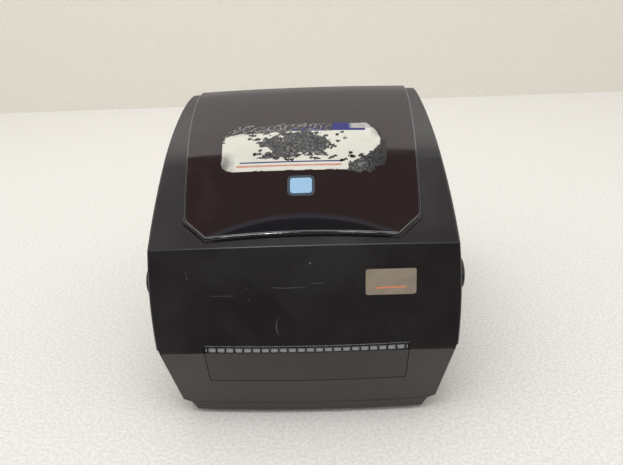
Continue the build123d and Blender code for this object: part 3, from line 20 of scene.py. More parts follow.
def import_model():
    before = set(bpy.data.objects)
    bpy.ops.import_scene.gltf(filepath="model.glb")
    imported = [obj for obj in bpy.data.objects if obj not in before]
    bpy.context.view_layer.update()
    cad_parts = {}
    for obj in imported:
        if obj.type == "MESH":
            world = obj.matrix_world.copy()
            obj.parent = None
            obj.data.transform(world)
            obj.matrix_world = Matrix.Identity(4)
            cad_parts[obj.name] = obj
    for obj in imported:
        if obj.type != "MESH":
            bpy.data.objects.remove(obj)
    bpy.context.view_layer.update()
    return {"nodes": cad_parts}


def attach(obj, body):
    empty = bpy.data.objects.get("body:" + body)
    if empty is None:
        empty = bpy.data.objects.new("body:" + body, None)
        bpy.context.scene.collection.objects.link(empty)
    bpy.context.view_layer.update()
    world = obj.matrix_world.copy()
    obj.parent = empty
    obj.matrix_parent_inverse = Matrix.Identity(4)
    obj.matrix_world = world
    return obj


LOG = logging.getLogger("label_printer")
MM = 0.001
FRONT = -128.0
LID_FOOT = 50.0
LID_LEAN = 15.3
CREASE = (FRONT + LID_LEAN, 117.0)
SLOPE_ANGLE = math.radians(48.45)
ROUGH_SPREAD = 0.06
SKIN_DEPTH = 0.002
RAY_HEIGHT = 0.3
SKY_RANGE = 2.0
SENSOR_WIDTH = 36.0
WAVES = 6
FADE = 0.6
SHRINK = 0.52
TORN_OCTAVES = 5
TORN_ACROSS, TORN_UP = 1.6, 1.1
SEED_STEP = 40

Colour = tuple[float, float, float]
Socket = bpy.types.NodeSocket
Piece = bpy.types.Object
Nodes = dict[str, Piece]
Grid = np.ndarray


class Grain(Enum):
    """Texture of a surface: clouds in a metre, octaves, their roughness, stretch and strength."""

    NONE = ()
    SPARK = (1500.0, 2.0, 0.6, (1, 1, 1), 0.5)
    FINE = (2600.0, 2.0, 0.5, (1, 1, 1), 0.3)
    BRUSHED_X = (1800.0, 3.0, 0.6, (0.02, 1, 1), 0.35)
    BRUSHED_Y = (1800.0, 3.0, 0.6, (1, 0.02, 1), 0.35)
    TURNED = (900.0, 2.0, 0.5, (1, 0.05, 0.05), 0.35)
    FOAM = (330.0, 4.0, 0.6, (1, 1, 1), 0.6)


class Coords(Enum):
    """Where a texture takes its place on the piece from."""

    OBJECT = "Object"
    UV = "UV"


class Mixed(Enum):
    """What a mix node mixes: Blender's name, its two inputs and its output."""

    COLOUR = ("RGBA", 6, 7, 2)
    NUMBER = ("FLOAT", 2, 3, 0)


class Net:
    """A node tree, built up from small named steps."""

    def __init__(self, tree: bpy.types.NodeTree) -> None:
        """Take over a node tree."""
        self.tree = tree

    def add(self, kind: str, **values: object) -> bpy.types.Node:
        """Add a node and set its own properties.

        Args:
            kind: Blender's name of the node type.
            **values: Properties of the node.

        Returns:
            The new node.
        """
        node = self.tree.nodes.new(kind)
        for name, value in values.items():
            setattr(node, name, value)
        return node

    def link(self, source: Socket, target: Socket) -> None:
        """Join an output socket to an input socket."""
        self.tree.links.new(source, target)

    def feed(self, target: Socket, value: object) -> None:
        """Give a socket a constant or another socket's output.

        Args:
            target: Input socket.
            value: A number, a colour or an output socket.
        """
        if isinstance(value, bpy.types.NodeSocket):
            self.link(value, target)
        elif isinstance(value, tuple) and len(value) == 3 and target.type == "RGBA":
            target.default_value = (*value, 1.0)
        else:
            target.default_value = value

    def split(self, place: Socket) -> tuple[Socket, ...]:
        """Separate a vector.

        Args:
            place: The vector.

        Returns:
            Its x, y and z sockets.
        """
        parts = self.add("ShaderNodeSeparateXYZ")
        self.link(place, parts.inputs[0])
        return tuple(parts.outputs)

    def ramp(self, value: Socket, low: float, high: float, to_low: float = 0.0,
             to_high: float = 1.0, **options: object) -> Socket:
        """Stretch a value's range and hold it at both ends.

        Args:
            value: Value to stretch.
            low: Value that gives to_low.
            high: Value that gives to_high.
            to_low: Result at the low end.
            to_high: Result at the high end.
            **options: Further properties of the node.

        Returns:
            A value socket.
        """
        node = self.add("ShaderNodeMapRange", **options)
        self.link(value, node.inputs["Value"])
        for name, number in (("From Min", low), ("From Max", high), ("To Min", to_low), ("To Max", to_high)):
            node.inputs[name].default_value = number
        return node.outputs["Result"]

    def math(self, operation: str, first: object, second: object = 0.0) -> Socket:
        """Combine two numbers.

        Args:
            operation: Blender's name of the operation.
            first: First number or socket.
            second: Second number or socket.

        Returns:
            A value socket.
        """
        node = self.add("ShaderNodeMath", operation=operation)
        self.feed(node.inputs[0], first)
        self.feed(node.inputs[1], second)
        return node.outputs[0]

    def times(self, value: Socket, *factors: object) -> Socket:
        """Multiply a value by each factor in turn.

        Args:
            value: Value to start from.
            *factors: Numbers or sockets.

        Returns:
            A value socket.
        """
        for factor in factors:
            value = self.math("MULTIPLY", value, factor)
        return value

    def blend(self, share: object, first: object, second: object, what: Mixed = Mixed.COLOUR) -> Socket:
        """Mix two colours or two numbers.

        Args:
            share: How much of the second.
            first: The first, or its socket.
            second: The second, or its socket.
            what: Whether they are colours or numbers.

        Returns:
            A colour or value socket.
        """
        kind, start, end, result = what.value
        node = self.add("ShaderNodeMix", data_type=kind)
        self.feed(node.inputs["Factor"], share)
        self.feed(node.inputs[start], first)
        self.feed(node.inputs[end], second)
        return node.outputs[result]


class Recipe(Net):
    """A material's node tree around its one principled shader."""

    def __init__(self, name: str) -> None:
        """Start an empty material with one principled shader.

        Args:
            name: Name of the material.
        """
        self.material = bpy.data.materials.new(name)
        self.material.use_nodes = True
        super().__init__(self.material.node_tree)
        self.shader = self.tree.nodes["Principled BSDF"]

    def set(self, **values: object) -> None:
        """Set the shader's sockets, with underscores for spaces in their names."""
        for name, value in values.items():
            self.feed(self.shader.inputs[name.replace("_", " ")], value)

    def coords(self, kind: Coords = Coords.OBJECT, stretch: tuple = (1, 1, 1)) -> Socket:
        """Position on the piece.

        Args:
            kind: Which coordinates are read.
            stretch: Factor along each axis.

        Returns:
            A vector socket.
        """
        place = self.add("ShaderNodeTexCoord").outputs[kind.value]
        if stretch == (1, 1, 1):
            return place
        mapping = self.add("ShaderNodeMapping")
        self.link(place, mapping.inputs["Vector"])
        mapping.inputs["Scale"].default_value = stretch
        return mapping.outputs["Vector"]

    def noise(self, scale: float, detail: float = 3.0, rough: float = 0.5, stretch: tuple = (1, 1, 1),
              twist: float = 0.0) -> Socket:
        """Cloudy pattern from 0 to 1.

        Args:
            scale: Clouds in a metre, about.
            detail: Octaves.
            rough: Strength of the finer octaves.
            stretch: Factor along each axis.
            twist: Distortion of the clouds.

        Returns:
            A value socket.
        """
        node = self.add("ShaderNodeTexNoise")
        self.link(self.coords(stretch=stretch), node.inputs["Vector"])
        for name, number in (("Scale", scale), ("Detail", detail), ("Roughness", rough),
                             ("Distortion", twist)):
            node.inputs[name].default_value = number
        return node.outputs[0]

    def bump(self, height: Socket, strength: float, depth: float) -> None:
        """Roughen the surface, on top of any earlier bump.

        Args:
            height: Height pattern from 0 to 1.
            strength: Share of the effect.
            depth: Depth of the pattern in metres.
        """
        node = self.add("ShaderNodeBump")
        node.inputs["Strength"].default_value = strength
        node.inputs["Distance"].default_value = depth
        self.link(height, node.inputs["Height"])
        earlier = self.shader.inputs["Normal"]
        if earlier.is_linked:
            self.link(earlier.links[0].from_socket, node.inputs["Normal"])
        self.link(node.outputs["Normal"], earlier)

    def specks(self, per_metre: float, share: float, size: float) -> Socket:
        """Small scattered dots, such as dust.

        Args:
            per_metre: Cells in a metre, each with one dot at most.
            share: Share of the cells that hold a dot.
            size: Dot radius as a share of a cell.

        Returns:
            A value socket that is 1 on a dot.
        """
        node = self.add("ShaderNodeTexVoronoi")
        self.link(self.coords(), node.inputs["Vector"])
        node.inputs["Scale"].default_value = per_metre
        parts = self.add("ShaderNodeSeparateColor")
        self.link(node.outputs["Color"], parts.inputs[0])
        chosen = self.math("LESS_THAN", parts.outputs[0], share)
        near = self.math("LESS_THAN", node.outputs["Distance"], self.times(parts.outputs[1], size))
        return self.times(chosen, near)

    def streak(self, centre: Vector, along: Vector, length: float, width: float,
               across: Vector, bend: float = 0.0) -> Socket:
        """One thin scratch or smear at a known place.

        Args:
            centre: Its middle, in metres.
            along: Direction it runs in.
            length: Its length in metres.
            width: Its width in metres.
            across: Direction across it, on the surface.
            bend: How far its ends curve off, in metres.

        Returns:
            A value socket, 1 along the middle of the streak.
        """
        place = self.add("ShaderNodeVectorMath", operation="SUBTRACT")
        self.link(self.coords(), place.inputs[0])
        place.inputs[1].default_value = centre
        run = self.add("ShaderNodeVectorMath", operation="DOT_PRODUCT")
        off = self.add("ShaderNodeVectorMath", operation="DOT_PRODUCT")
        for node, direction in ((run, along.normalized()), (off, across.normalized())):
            self.link(place.outputs[0], node.inputs[0])
            node.inputs[1].default_value = direction
        share = self.math("DIVIDE", run.outputs["Value"], length / 2)
        curve = self.times(share, share, bend)
        away = self.math("ABSOLUTE", self.math("SUBTRACT", off.outputs["Value"], curve))
        side = self.ramp(away, width / 2, 0.0)
        ends = self.ramp(self.math("ABSOLUTE", share), 1.0, 0.6)
        return self.times(side, ends)


class Paint(ABC):
    """A named material that is built once and then reused."""

    name: str

    def material(self) -> bpy.types.Material:
        """Build the material, or find it again.

        Returns:
            The material.
        """
        known = bpy.data.materials.get(self.name)
        if known:
            return known
        mix = Recipe(self.name)
        self.fill(mix)
        return mix.material

    @abstractmethod
    def fill(self, mix: Recipe) -> None:
        """Add the material's own nodes to its recipe."""


@dataclass(frozen=True)
class Finish(Paint):
    """A plain finish: colour, gloss and texture, with a little wear and variation."""

    name: str
    colour: Colour
    rough: float = 0.5
    metal: float = 0.0
    grain: Grain = Grain.FINE
    depth: float = 0.03
    vary: float = 0.12
    coat: float = 0.0
    soft_light: float = 0.0
    gloss: float = 0.5

    def fill(self, mix: Recipe) -> None:
        """Add the finish's colour, gloss and grain.

        Args:
            mix: Recipe they go into.
        """
        dark = tuple(c * (1 - self.vary) for c in self.colour)
        light = tuple(min(1.0, c * (1 + self.vary)) for c in self.colour)
        clouds = mix.noise(460.0, 2.0, 0.5) if self.grain is Grain.FOAM else mix.noise(38.0, 4.0, 0.6)
        fine = mix.noise(260.0, 3.0, 0.6)
        smooth, coarse = max(0.03, self.rough - ROUGH_SPREAD), min(1.0, self.rough + ROUGH_SPREAD)
        mix.set(Base_Color=mix.blend(mix.ramp(clouds, 0.38, 0.62), dark, light), Metallic=self.metal,
                Roughness=mix.ramp(fine, 0.3, 0.7, smooth, coarse), Specular_IOR_Level=self.gloss,
                Coat_Weight=self.coat, Subsurface_Weight=self.soft_light, Subsurface_Scale=SKIN_DEPTH)
        if self.grain.value:
            *pattern, strength = self.grain.value
            mix.bump(mix.noise(*pattern), strength, self.depth * MM)


@dataclass(frozen=True)
class CasingPlastic(Paint):
    """Dark textured moulding of the casing, handled, dusty and lightly scratched."""

    name: str = "casing_plastic"
    colour: Colour = (0.0072, 0.0046, 0.0046)
    scuffed: Colour = (0.022, 0.020, 0.019)
    dust: Colour = (0.36, 0.34, 0.31)
    gloss: float = 0.90
    marks: bool = False

    def fill(self, mix: Recipe) -> None:
        """Add the material's own nodes.

        Args:
            mix: Recipe they go into.
        """
        clouds = mix.noise(14.0, 5.0, 0.62, twist=0.4)
        fine = mix.noise(420.0, 3.0, 0.7)
        rubbed = mix.times(mix.ramp(clouds, 0.48, 0.72), mix.ramp(fine, 0.35, 0.75))
        body = mix.blend(mix.times(rubbed, 0.55), self.colour, self.scuffed)
        pepper = mix.math("MAXIMUM", mix.specks(75.0, 0.12, 0.030), mix.specks(170.0, 0.08, 0.045))
        body = mix.blend(mix.times(pepper, 0.80), body, self.dust)
        if self.marks:
            body = mix.blend(self.scratches(mix), body, self.dust)
        handled = mix.noise(30.0, 4.0, 0.6, twist=0.6)
        mix.set(Base_Color=body, Roughness=mix.ramp(handled, 0.3, 0.7, 0.30, 0.40),
                Specular_IOR_Level=self.gloss)
        mix.bump(mix.noise(1700.0, 2.0, 0.6), 0.22, 0.03 * MM)
        mix.bump(mix.noise(9.0, 2.0, 0.4), 0.12, 0.4 * MM)

    def scratches(self, mix: Recipe) -> Socket:
        """The few long marks on the lid's front.

        Args:
            mix: Recipe the marks go into.

        Returns:
            A value socket, above 0 on a mark.
        """
        rise = CREASE[1] - LID_FOOT
        up = Vector((0, LID_LEAN, rise)).normalized()
        right = Vector((1, 0, 0))

        def front_point(x: float, z: float) -> Vector:
            """Point of the lid's front at x and z, in metres."""
            return Vector((x, FRONT + LID_LEAN * (z - LID_FOOT) / rise, z)) * MM

        marks = [
            (front_point(-9.5, 91.2), right, 26, 0.5, up, 1.0, 0.40),
            (front_point(8.5, 93.6), right + up * 0.35, 9, 0.5, up, 0.5, 0.34),
            (front_point(-50.2, 86.7), right + up * 0.08, 20, 0.5, up, 0.3, 0.26),
            (front_point(-17.8, 67.0), up + right * 0.16, 13, 1.4, right, 1.7, 0.20),
            (front_point(-72.8, 101.2), up + right * 0.10, 4, 0.5, right, 0.0, 0.30),
            (front_point(-72.3, 97.8), right, 1.0, 1.0, up, 0.0, 0.45),
            (front_point(4.6, 106.3), right, 1.3, 1.3, up, 0.0, 0.75),
            (front_point(-34.1, 84.1), right, 0.9, 0.9, up, 0.0, 0.35),
            (front_point(21.6, 105.2), right, 0.8, 0.8, up, 0.0, 0.35),
        ]
        total = None
        for centre, along, length, width, across, bend, weight in marks:
            one = mix.times(
                mix.streak(centre, along, length * MM, width * MM, across, bend * MM), weight)
            total = one if total is None else mix.math("MAXIMUM", total, one)
        return mix.times(total, mix.ramp(mix.noise(700.0, 2.0), 0.3, 0.6, 0.4, 1.0))


@dataclass(frozen=True)
class WindowPlastic(Paint):
    """Smoked gloss window, with the dark arch of the lid's ledge showing along its front and a painted
    highlight along the arch's edge.
    """

    name: str = "window_plastic"
    smoke: Colour = (0.0235, 0.0135, 0.0135)
    ledge: Colour = (0.0085, 0.0085, 0.0115)
    # lighter colour of a painted highlight along the arch's edge
    line: Colour = (0.038, 0.040, 0.055)
    dust: Colour = (0.30, 0.28, 0.26)
    arch_radius: float = 245.0
    arch_centre: float = FRONT + 25.6 - arch_radius
    gloss: float = 0.55

    def fill(self, mix: Recipe) -> None:
        """Add the material's own nodes.

        Args:
            mix: Recipe they go into.
        """
        x, y, z = mix.split(mix.coords())
        run = mix.math("SUBTRACT", y, self.arch_centre * MM)
        reach = mix.math("SQRT", mix.math("ADD", mix.times(x, x), mix.times(run, run)))
        past = mix.math("SUBTRACT", reach, self.arch_radius * MM)
        on_ledge = mix.ramp(past, 0.5 * MM, -0.9 * MM)
        # band just outside the arch, where the line colour paints a highlight on the ledge's edge
        rim = mix.times(mix.ramp(past, -0.2 * MM, 0.5 * MM), mix.ramp(past, 2.6 * MM, 0.9 * MM))
        low = mix.ramp(z, 139.0 * MM, 131.0 * MM)
        body = mix.blend(mix.times(on_ledge, low), self.smoke, self.ledge)
        body = mix.blend(mix.times(rim, low, 0.6), body, self.line)
        pepper = mix.math("MAXIMUM", mix.specks(60.0, 0.20, 0.032), mix.specks(150.0, 0.06, 0.045))
        hazy = mix.ramp(mix.noise(22.0, 5.0, 0.65, twist=0.8), 0.55, 0.8)
        body = mix.blend(mix.times(hazy, 0.035), body, self.dust)
        body = mix.blend(mix.times(pepper, 0.6), body, self.dust)
        smears = mix.noise(26.0, 5.0, 0.7, (1, 2.2, 1), twist=1.2)
        mix.set(Base_Color=body, Roughness=mix.ramp(smears, 0.40, 0.75, 0.055, 0.16),
                Specular_IOR_Level=self.gloss)
        mix.bump(mix.noise(7.0, 1.0, 0.4), 0.10, 0.5 * MM)
        mix.bump(mix.noise(600.0, 2.0, 0.5, (0.1, 1, 1)), 0.02, 0.02 * MM)


@dataclass(frozen=True)
class PatchPaper(Paint):
    """Torn, scraped paper left on the window, with plain printed bands."""

    name: str = "patch_paper"
    paper: Colour = (0.695, 0.69, 0.61)
    grime: Colour = (0.060, 0.057, 0.060)
    deep_blue: Colour = (0.022, 0.022, 0.17)
    soft_red: Colour = (0.58, 0.17, 0.11)
    rubbed: Colour = (0.42, 0.42, 0.41)

    def fill(self, mix: Recipe) -> None:
        """Add the material's own nodes.

        Args:
            mix: Recipe they go into.
        """
        across, along, _ = mix.split(mix.coords(Coords.UV))

        def within(value: Socket, low: float, high: float) -> Socket:
            """1 where a value lies between two limits."""
            return mix.times(mix.math("GREATER_THAN", value, low), mix.math("LESS_THAN", value, high))

        def box(bottom: float, top: float, left: float, right: float) -> Socket:
            """1 in a box on the patch."""
            return mix.times(within(along, bottom, top), within(across, left, right))

        clouds = mix.ramp(mix.noise(70.0, 5.0, 0.6), 0.45, 0.8)
        body = mix.blend(mix.times(clouds, 0.10), self.paper, self.grime)
        worn = mix.ramp(mix.noise(420.0, 4.0, 0.7, (1, 2.2, 1)), 0.60, 0.66)
        band = box(0.815, 1.1, -0.1, 0.905)
        ink = mix.math("SUBTRACT", 1.0, mix.times(worn, mix.ramp(across, 0.72, 0.62)))
        body = mix.blend(mix.times(band, ink), body, self.deep_blue)
        rub = mix.times(within(along, 0.868, 1.1), mix.ramp(across, 0.80, 0.825),
                        mix.ramp(mix.noise(300.0, 4.0, 0.7), 0.30, 0.45, 0.6, 1.0))
        body = mix.blend(rub, body, self.rubbed)
        body = mix.blend(box(0.158, 0.183, 0.118, 0.752), body, self.deep_blue)
        faded = mix.ramp(mix.noise(330.0, 3.0, 0.6), 0.3, 0.7, 0.55, 1.0)
        body = mix.blend(mix.times(box(0.082, 0.117, 0.097, 0.752), faded), body, self.soft_red)
        smoke = mix.ramp(mix.noise(95.0, 5.0, 0.7, twist=1.5), 0.30, 0.58)
        left = mix.times(mix.ramp(across, 0.095, 0.03), mix.ramp(along, 0.42, 0.22))
        right = mix.times(mix.ramp(across, 0.93, 0.985), mix.ramp(along, 0.62, 0.80))
        corner = mix.times(mix.ramp(across, 0.20, 0.02), mix.ramp(along, 0.70, 0.80))
        smudge = mix.math("MAXIMUM", mix.math("MAXIMUM", left, right), mix.times(corner, 0.8))
        body = mix.blend(mix.times(smudge, smoke, 0.82), body, self.grime)
        mix.set(Base_Color=body, Roughness=0.55)
        mix.bump(mix.noise(900.0, 4.0, 0.6), 0.4, 0.04 * MM)


@dataclass(frozen=True)
class PatchResidue(Paint):
    """Scraped, rubbed remains of paper and glue where the patch is gone."""

    name: str = "patch_residue"
    glue: Colour = (0.006, 0.005, 0.006)
    rubbed: Colour = (0.038, 0.036, 0.038)
    crumbs: Colour = (0.60, 0.59, 0.57)

    def fill(self, mix: Recipe) -> None:
        """Add the material's own nodes.

        Args:
            mix: Recipe they go into.
        """
        streaks = mix.noise(330.0, 6.0, 0.72, (1.0, 1.6, 1.6), twist=1.8)
        body = mix.blend(mix.ramp(streaks, 0.40, 0.62), self.glue, self.rubbed)
        flecks = mix.noise(760.0, 4.0, 0.7, (0.8, 1.2, 1.2), twist=2.4)
        across, along, _ = mix.split(mix.coords(Coords.UV))
        scarce = mix.math("SUBTRACT", flecks, mix.ramp(across, 0.86, 1.02, 0.0, 0.10))
        scarce = mix.math("ADD", scarce, mix.ramp(along, 0.78, 0.86, 0.0, 0.035))
        body = mix.blend(mix.ramp(scarce, 0.565, 0.625), body, self.crumbs)
        mix.set(Base_Color=body, Roughness=mix.ramp(streaks, 0.3, 0.7, 0.30, 0.62))
        mix.bump(flecks, 0.6, 0.10 * MM)


@dataclass(frozen=True)
class PlateFoil(Paint):
    """Brushed silver foil of the name plate, with one plain printed stripe."""

    name: str = "plate_foil"
    colour: Colour = (0.69, 0.58, 0.46)
    stripe: Colour = (0.72, 0.17, 0.05)
    centre_x: float = 53.8
    centre_z: float = 93.1
    stripe_drop: float = 3.4
    stripe_half: float = 9.5
    stripe_thick: float = 0.55

    def fill(self, mix: Recipe) -> None:
        """Add the material's own nodes.

        Args:
            mix: Recipe they go into.
        """
        x, _, z = mix.split(mix.coords())
        off_x = mix.math("ABSOLUTE", mix.math("SUBTRACT", x, self.centre_x * MM))
        off_z = mix.math("ABSOLUTE", mix.math("SUBTRACT", z, (self.centre_z - self.stripe_drop) * MM))
        band = mix.times(mix.math("LESS_THAN", off_x, self.stripe_half * MM),
                         mix.math("LESS_THAN", off_z, self.stripe_thick * MM))
        hairs = mix.noise(1500.0, 3.0, 0.7, (0.03, 1, 1))
        tone = mix.blend(mix.ramp(hairs, 0.3, 0.7), tuple(c * 0.86 for c in self.colour), self.colour)
        tone = mix.blend(mix.times(mix.ramp(mix.noise(60.0, 3.0), 0.4, 0.8), 0.35), tone,
                         tuple(c * 0.6 for c in self.colour))
        worn = mix.ramp(mix.noise(900.0, 3.0, 0.6), 0.35, 0.6, 0.55, 0.95)
        mix.set(Base_Color=mix.blend(mix.times(band, worn), tone, self.stripe),
                Metallic=mix.ramp(band, 0.0, 1.0, 0.75, 0.1), Roughness=mix.ramp(hairs, 0.3, 0.7, 0.34, 0.46))
        mix.bump(hairs, 0.25, 0.02 * MM)


@dataclass(frozen=True)
class BoardLaminate(Paint):
    """Green coated circuit board with faint copper tracks."""

    name: str = "board_laminate"
    colour: Colour = (0.012, 0.085, 0.035)
    track: Colour = (0.025, 0.16, 0.07)
    pad: Colour = (0.62, 0.58, 0.45)

    def fill(self, mix: Recipe) -> None:
        """Add the material's own nodes.

        Args:
            mix: Recipe they go into.
        """
        cells = mix.add("ShaderNodeTexVoronoi", distance="MANHATTAN", feature="F1")
        mix.link(mix.coords(), cells.inputs["Vector"])
        cells.inputs["Scale"].default_value = 240.0
        lanes = mix.math("PINGPONG", mix.times(cells.outputs["Distance"], 3.0), 0.5)
        tracks = mix.math("GREATER_THAN", lanes, 0.33)
        body = mix.blend(tracks, self.colour, self.track)
        body = mix.blend(mix.specks(420.0, 0.35, 0.22), body, self.pad)
        mix.set(Base_Color=body, Roughness=0.32, Coat_Weight=0.25)
        mix.bump(tracks, 0.2, 0.03 * MM)


WINDOW_RIM = Finish("window_rim", (0.009, 0.0065, 0.0085), 0.13, grain=Grain.NONE, coat=1.0, gloss=1.0)
BLACK_MOULDING = Finish("black_moulding", (0.018, 0.018, 0.019), 0.52, grain=Grain.SPARK)
DARK_CATCH = Finish("latch_plastic", (0.020, 0.019, 0.019), 0.40, grain=Grain.SPARK)
BUTTON_BLUE = Finish("button_blue", (0.24, 0.385, 0.52), 0.34, vary=0.05, coat=0.15, soft_light=0.15)
RING_GREY = Finish("ring_grey_blue", (0.055, 0.070, 0.095), 0.35)
STRIP_GREY = Finish("strip_grey", (0.205, 0.205, 0.215), 0.55, vary=0.10)
BLADE_STEEL = Finish("blade_steel", (0.66, 0.64, 0.61), 0.42, 0.8, Grain.BRUSHED_X, vary=0.08)
SOFT_RUBBER = Finish("soft_rubber", (0.022, 0.022, 0.022), 0.78)
PLATEN_RUBBER = Finish("platen_rubber", (0.030, 0.030, 0.031), 0.58, grain=Grain.TURNED)
ZINC_SHEET = Finish("zinc_sheet", (0.46, 0.47, 0.48), 0.38, 1.0, Grain.BRUSHED_Y, vary=0.10)
BRIGHT_STEEL = Finish("bright_steel", (0.60, 0.60, 0.61), 0.22, 1.0, Grain.TURNED, vary=0.06)
MOTOR_CAN = Finish("motor_can", (0.30, 0.30, 0.31), 0.36, 1.0, Grain.BRUSHED_X)
ACETAL = Finish("white_acetal", (0.66, 0.65, 0.60), 0.42, vary=0.05, soft_light=0.1)
GEAR_BRASS = Finish("gear_brass", (0.68, 0.50, 0.22), 0.26, 1.0, Grain.TURNED, vary=0.07)
GLAZED_HEAD = Finish("glazed_head", (0.14, 0.10, 0.07), 0.12, grain=Grain.NONE, coat=0.6)
SINK_ALUMINIUM = Finish("sink_aluminium", (0.62, 0.63, 0.64), 0.34, 1.0, Grain.BRUSHED_X)
SOCKET_BLACK = Finish("socket_black", (0.014, 0.014, 0.015), 0.42, grain=Grain.SPARK)
SOCKET_SHELL = Finish("socket_shell", (0.55, 0.55, 0.54), 0.30, 1.0)
CHIP_BLACK = Finish("chip_black", (0.016, 0.016, 0.017), 0.50, grain=Grain.SPARK)
BOARD = BoardLaminate()
# the tray's copy of the casing plastic is lighter than the lid's: the extra lightness is painted light,
# standing in for the bright floor reflected on the lower front
TRAY_TONE_WITH_PAINTED_FLOOR_LIGHT = (0.014, 0.0105, 0.0095)


def dress(node: Piece, material: bpy.types.Material) -> None:
    """Give a frame node one material all over."""
    node.data.materials.clear()
    node.data.materials.append(material)


def mesh_object(name: str, mesh: bmesh.types.BMesh, material: bpy.types.Material) -> Piece:
    """Turn a bmesh into a scene object.

    Args:
        name: Name of the piece.
        mesh: Its geometry, freed afterwards.
        material: Its material.

    Returns:
        The new object.
    """
    data = bpy.data.meshes.new(name)
    mesh.to_mesh(data)
    mesh.free()
    for face in data.polygons:
        face.use_smooth = True
    data.materials.append(material)
    piece = bpy.data.objects.new(name, data)
    bpy.context.scene.collection.objects.link(piece)
    return piece


def surface_tree(node: Piece) -> BVHTree:
    """Search tree over a frame node's faces."""
    corners = [v.co.copy() for v in node.data.vertices]
    return BVHTree.FromPolygons(corners, [tuple(p.vertices) for p in node.data.polygons])


def ripple(x: Grid, y: Grid, scale: float, seed: int, octaves: int = 4) -> Grid:
    """Smooth repeatable noise on a plane, from about -1 to 1.

    Args:
        x: First coordinate.
        y: Second coordinate.
        scale: Size of the largest waves, in the units of x and y.
        seed: Which noise.
        octaves: Number of finer copies.

    Returns:
        Noise at each point.
    """
    draw = random.Random(seed)
    total, weight, size = np.zeros_like(x), 0.0, scale
    for octave in range(octaves):
        part = np.zeros_like(x)
        for _ in range(WAVES):
            turn = draw.uniform(0, 2 * math.pi)
            pull = draw.uniform(0.7, 1.4) * 2 * math.pi / size
            part += np.sin((x * math.cos(turn) + y * math.sin(turn)) * pull + draw.uniform(0, 6.283))
        total += part / WAVES ** 0.5 * FADE ** octave
        weight += FADE ** octave
        size *= SHRINK
    return total / weight


Finishes = tuple[tuple[Paint, str], ...]


class Assembly:
    """Sub-assembly whose nodes, named with spaces between, take finishes from a table."""

    finishes: Finishes

    def dress(self, nodes: Nodes) -> None:
        """Finish the sub-assembly's nodes and report it.

        Args:
            nodes: Objects of the frame by name.
        """
        for finish, names in self.finishes:
            for name in names.split():
                dress(nodes[name], finish.material())
        LOG.info("%s dressed", type(self).__name__.lower())


@dataclass(frozen=True)
class Casing(Assembly):
    """Tray, bottom, bezel and lid shell of the casing."""

    finishes: Finishes = (
        (CasingPlastic("casing_plastic_marked", marks=True), "lid_shell"),
        # tray and bezel take the lighter tone with painted floor light
        (CasingPlastic("tray_plastic", TRAY_TONE_WITH_PAINTED_FLOOR_LIGHT), "base_shell bottom_plate"),
        (CasingPlastic("bezel_plastic", TRAY_TONE_WITH_PAINTED_FLOOR_LIGHT, gloss=0.80), "front_bezel"),
        (SOFT_RUBBER, "feet"),
        (BRIGHT_STEEL, "base_screws hinge_pins"),
    )


@dataclass(frozen=True)
class Spots:
    """Places on the window: across it, and up its middle from the crease, in millimetres."""

    x: Grid
    s: Grid

    def torn(self, size: float, amount: float, seed: int) -> Spots:
        """Shift the places by a rough noise, so that an outline through them comes out torn.

        Args:
            size: Size of the largest notches.
            amount: How far places shift.
            seed: Which noise.

        Returns:
            The shifted places.
        """
        x, s = self.x, self.s
        return Spots(x + amount * ripple(x, s, size, seed, TORN_OCTAVES) * TORN_ACROSS,
                     s + amount * ripple(x, s, size, seed + SEED_STEP, TORN_OCTAVES) * TORN_UP)

    def inside(self, outline: tuple) -> Grid:
        """Which places lie inside a closed outline.

        Args:
            outline: Its corners.

        Returns:
            True inside.
        """
        x, s = self.x, self.s
        result = np.zeros(x.shape, dtype=bool)
        for (x0, s0), (x1, s1) in zip(outline, outline[1:] + outline[:1]):
            if s0 != s1:
                result ^= ((s0 > s) != (s1 > s)) & (x < x0 + (s - s0) * (x1 - x0) / (s1 - s0))
        return result


@dataclass(frozen=True)
class Nick:
    """One long nick scraped out of the paper: its middle, half sizes and turn in degrees."""

    x: float
    s: float
    length: float
    width: float
    turn: float

    def covers(self, spots: Spots) -> Grid:
        """Which places lie in the nick.

        Args:
            spots: Places on the window.

        Returns:
            True inside.
        """
        c, n = math.cos(math.radians(self.turn)), math.sin(math.radians(self.turn))
        x, s = spots.x - self.x, spots.s - self.s
        along, aside = x * c + s * n, s * c - x * n
        return (along / self.length) ** 2 + (aside / self.width) ** 2 < 1.0


NICKS = tuple(Nick(*values) for values in (
    (-30.9, 75.1, 2.6, 0.8, -5), (-27.8, 71.8, 2.2, 0.7, 5), (-32.7, 72.5, 1.1, 0.6, 0),
    (-21.8, 76.3, 2.0, 0.7, 10), (-24.4, 67.1, 1.6, 0.8, 40), (-27.8, 60.8, 2.8, 0.8, 8),
    (-18.7, 60.0, 2.2, 0.6, -20), (-15.0, 58.3, 1.7, 0.6, 15), (-6.8, 56.5, 3.0, 0.45, 5),
    (9.1, 57.1, 3.6, 0.6, -8), (23.8, 74.2, 0.9, 0.7, 0), (28.5, 71.3, 1.3, 0.6, 10),
    (23.9, 69.1, 0.9, 0.6, 0), (20.7, 65.7, 2.2, 0.8, -15), (20.1, 57.6, 3.2, 0.5, 25),
    (27.1, 55.4, 2.2, 0.5, 20), (32.8, 57.8, 2.1, 0.8, -10), (38.3, 58.5, 2.0, 0.9, 20),
    (-34.2, 76.9, 1.1, 0.5, 0), (-10.9, 76.1, 2.5, 0.8, -10), (2.9, 76.3, 2.9, 0.9, 5),
    (-26.0, 63.3, 1.2, 0.6, 60), (-3.6, 59.4, 2.2, 0.8, -30), (15.7, 73.1, 1.9, 0.8, 30),
    (26.7, 76.1, 0.9, 0.5, 0), (14.4, 60.6, 3.4, 0.7, -35), (-12.0, 77.4, 2.6, 0.7, 15),
    (31.6, 60.4, 1.2, 0.5, 30),
))


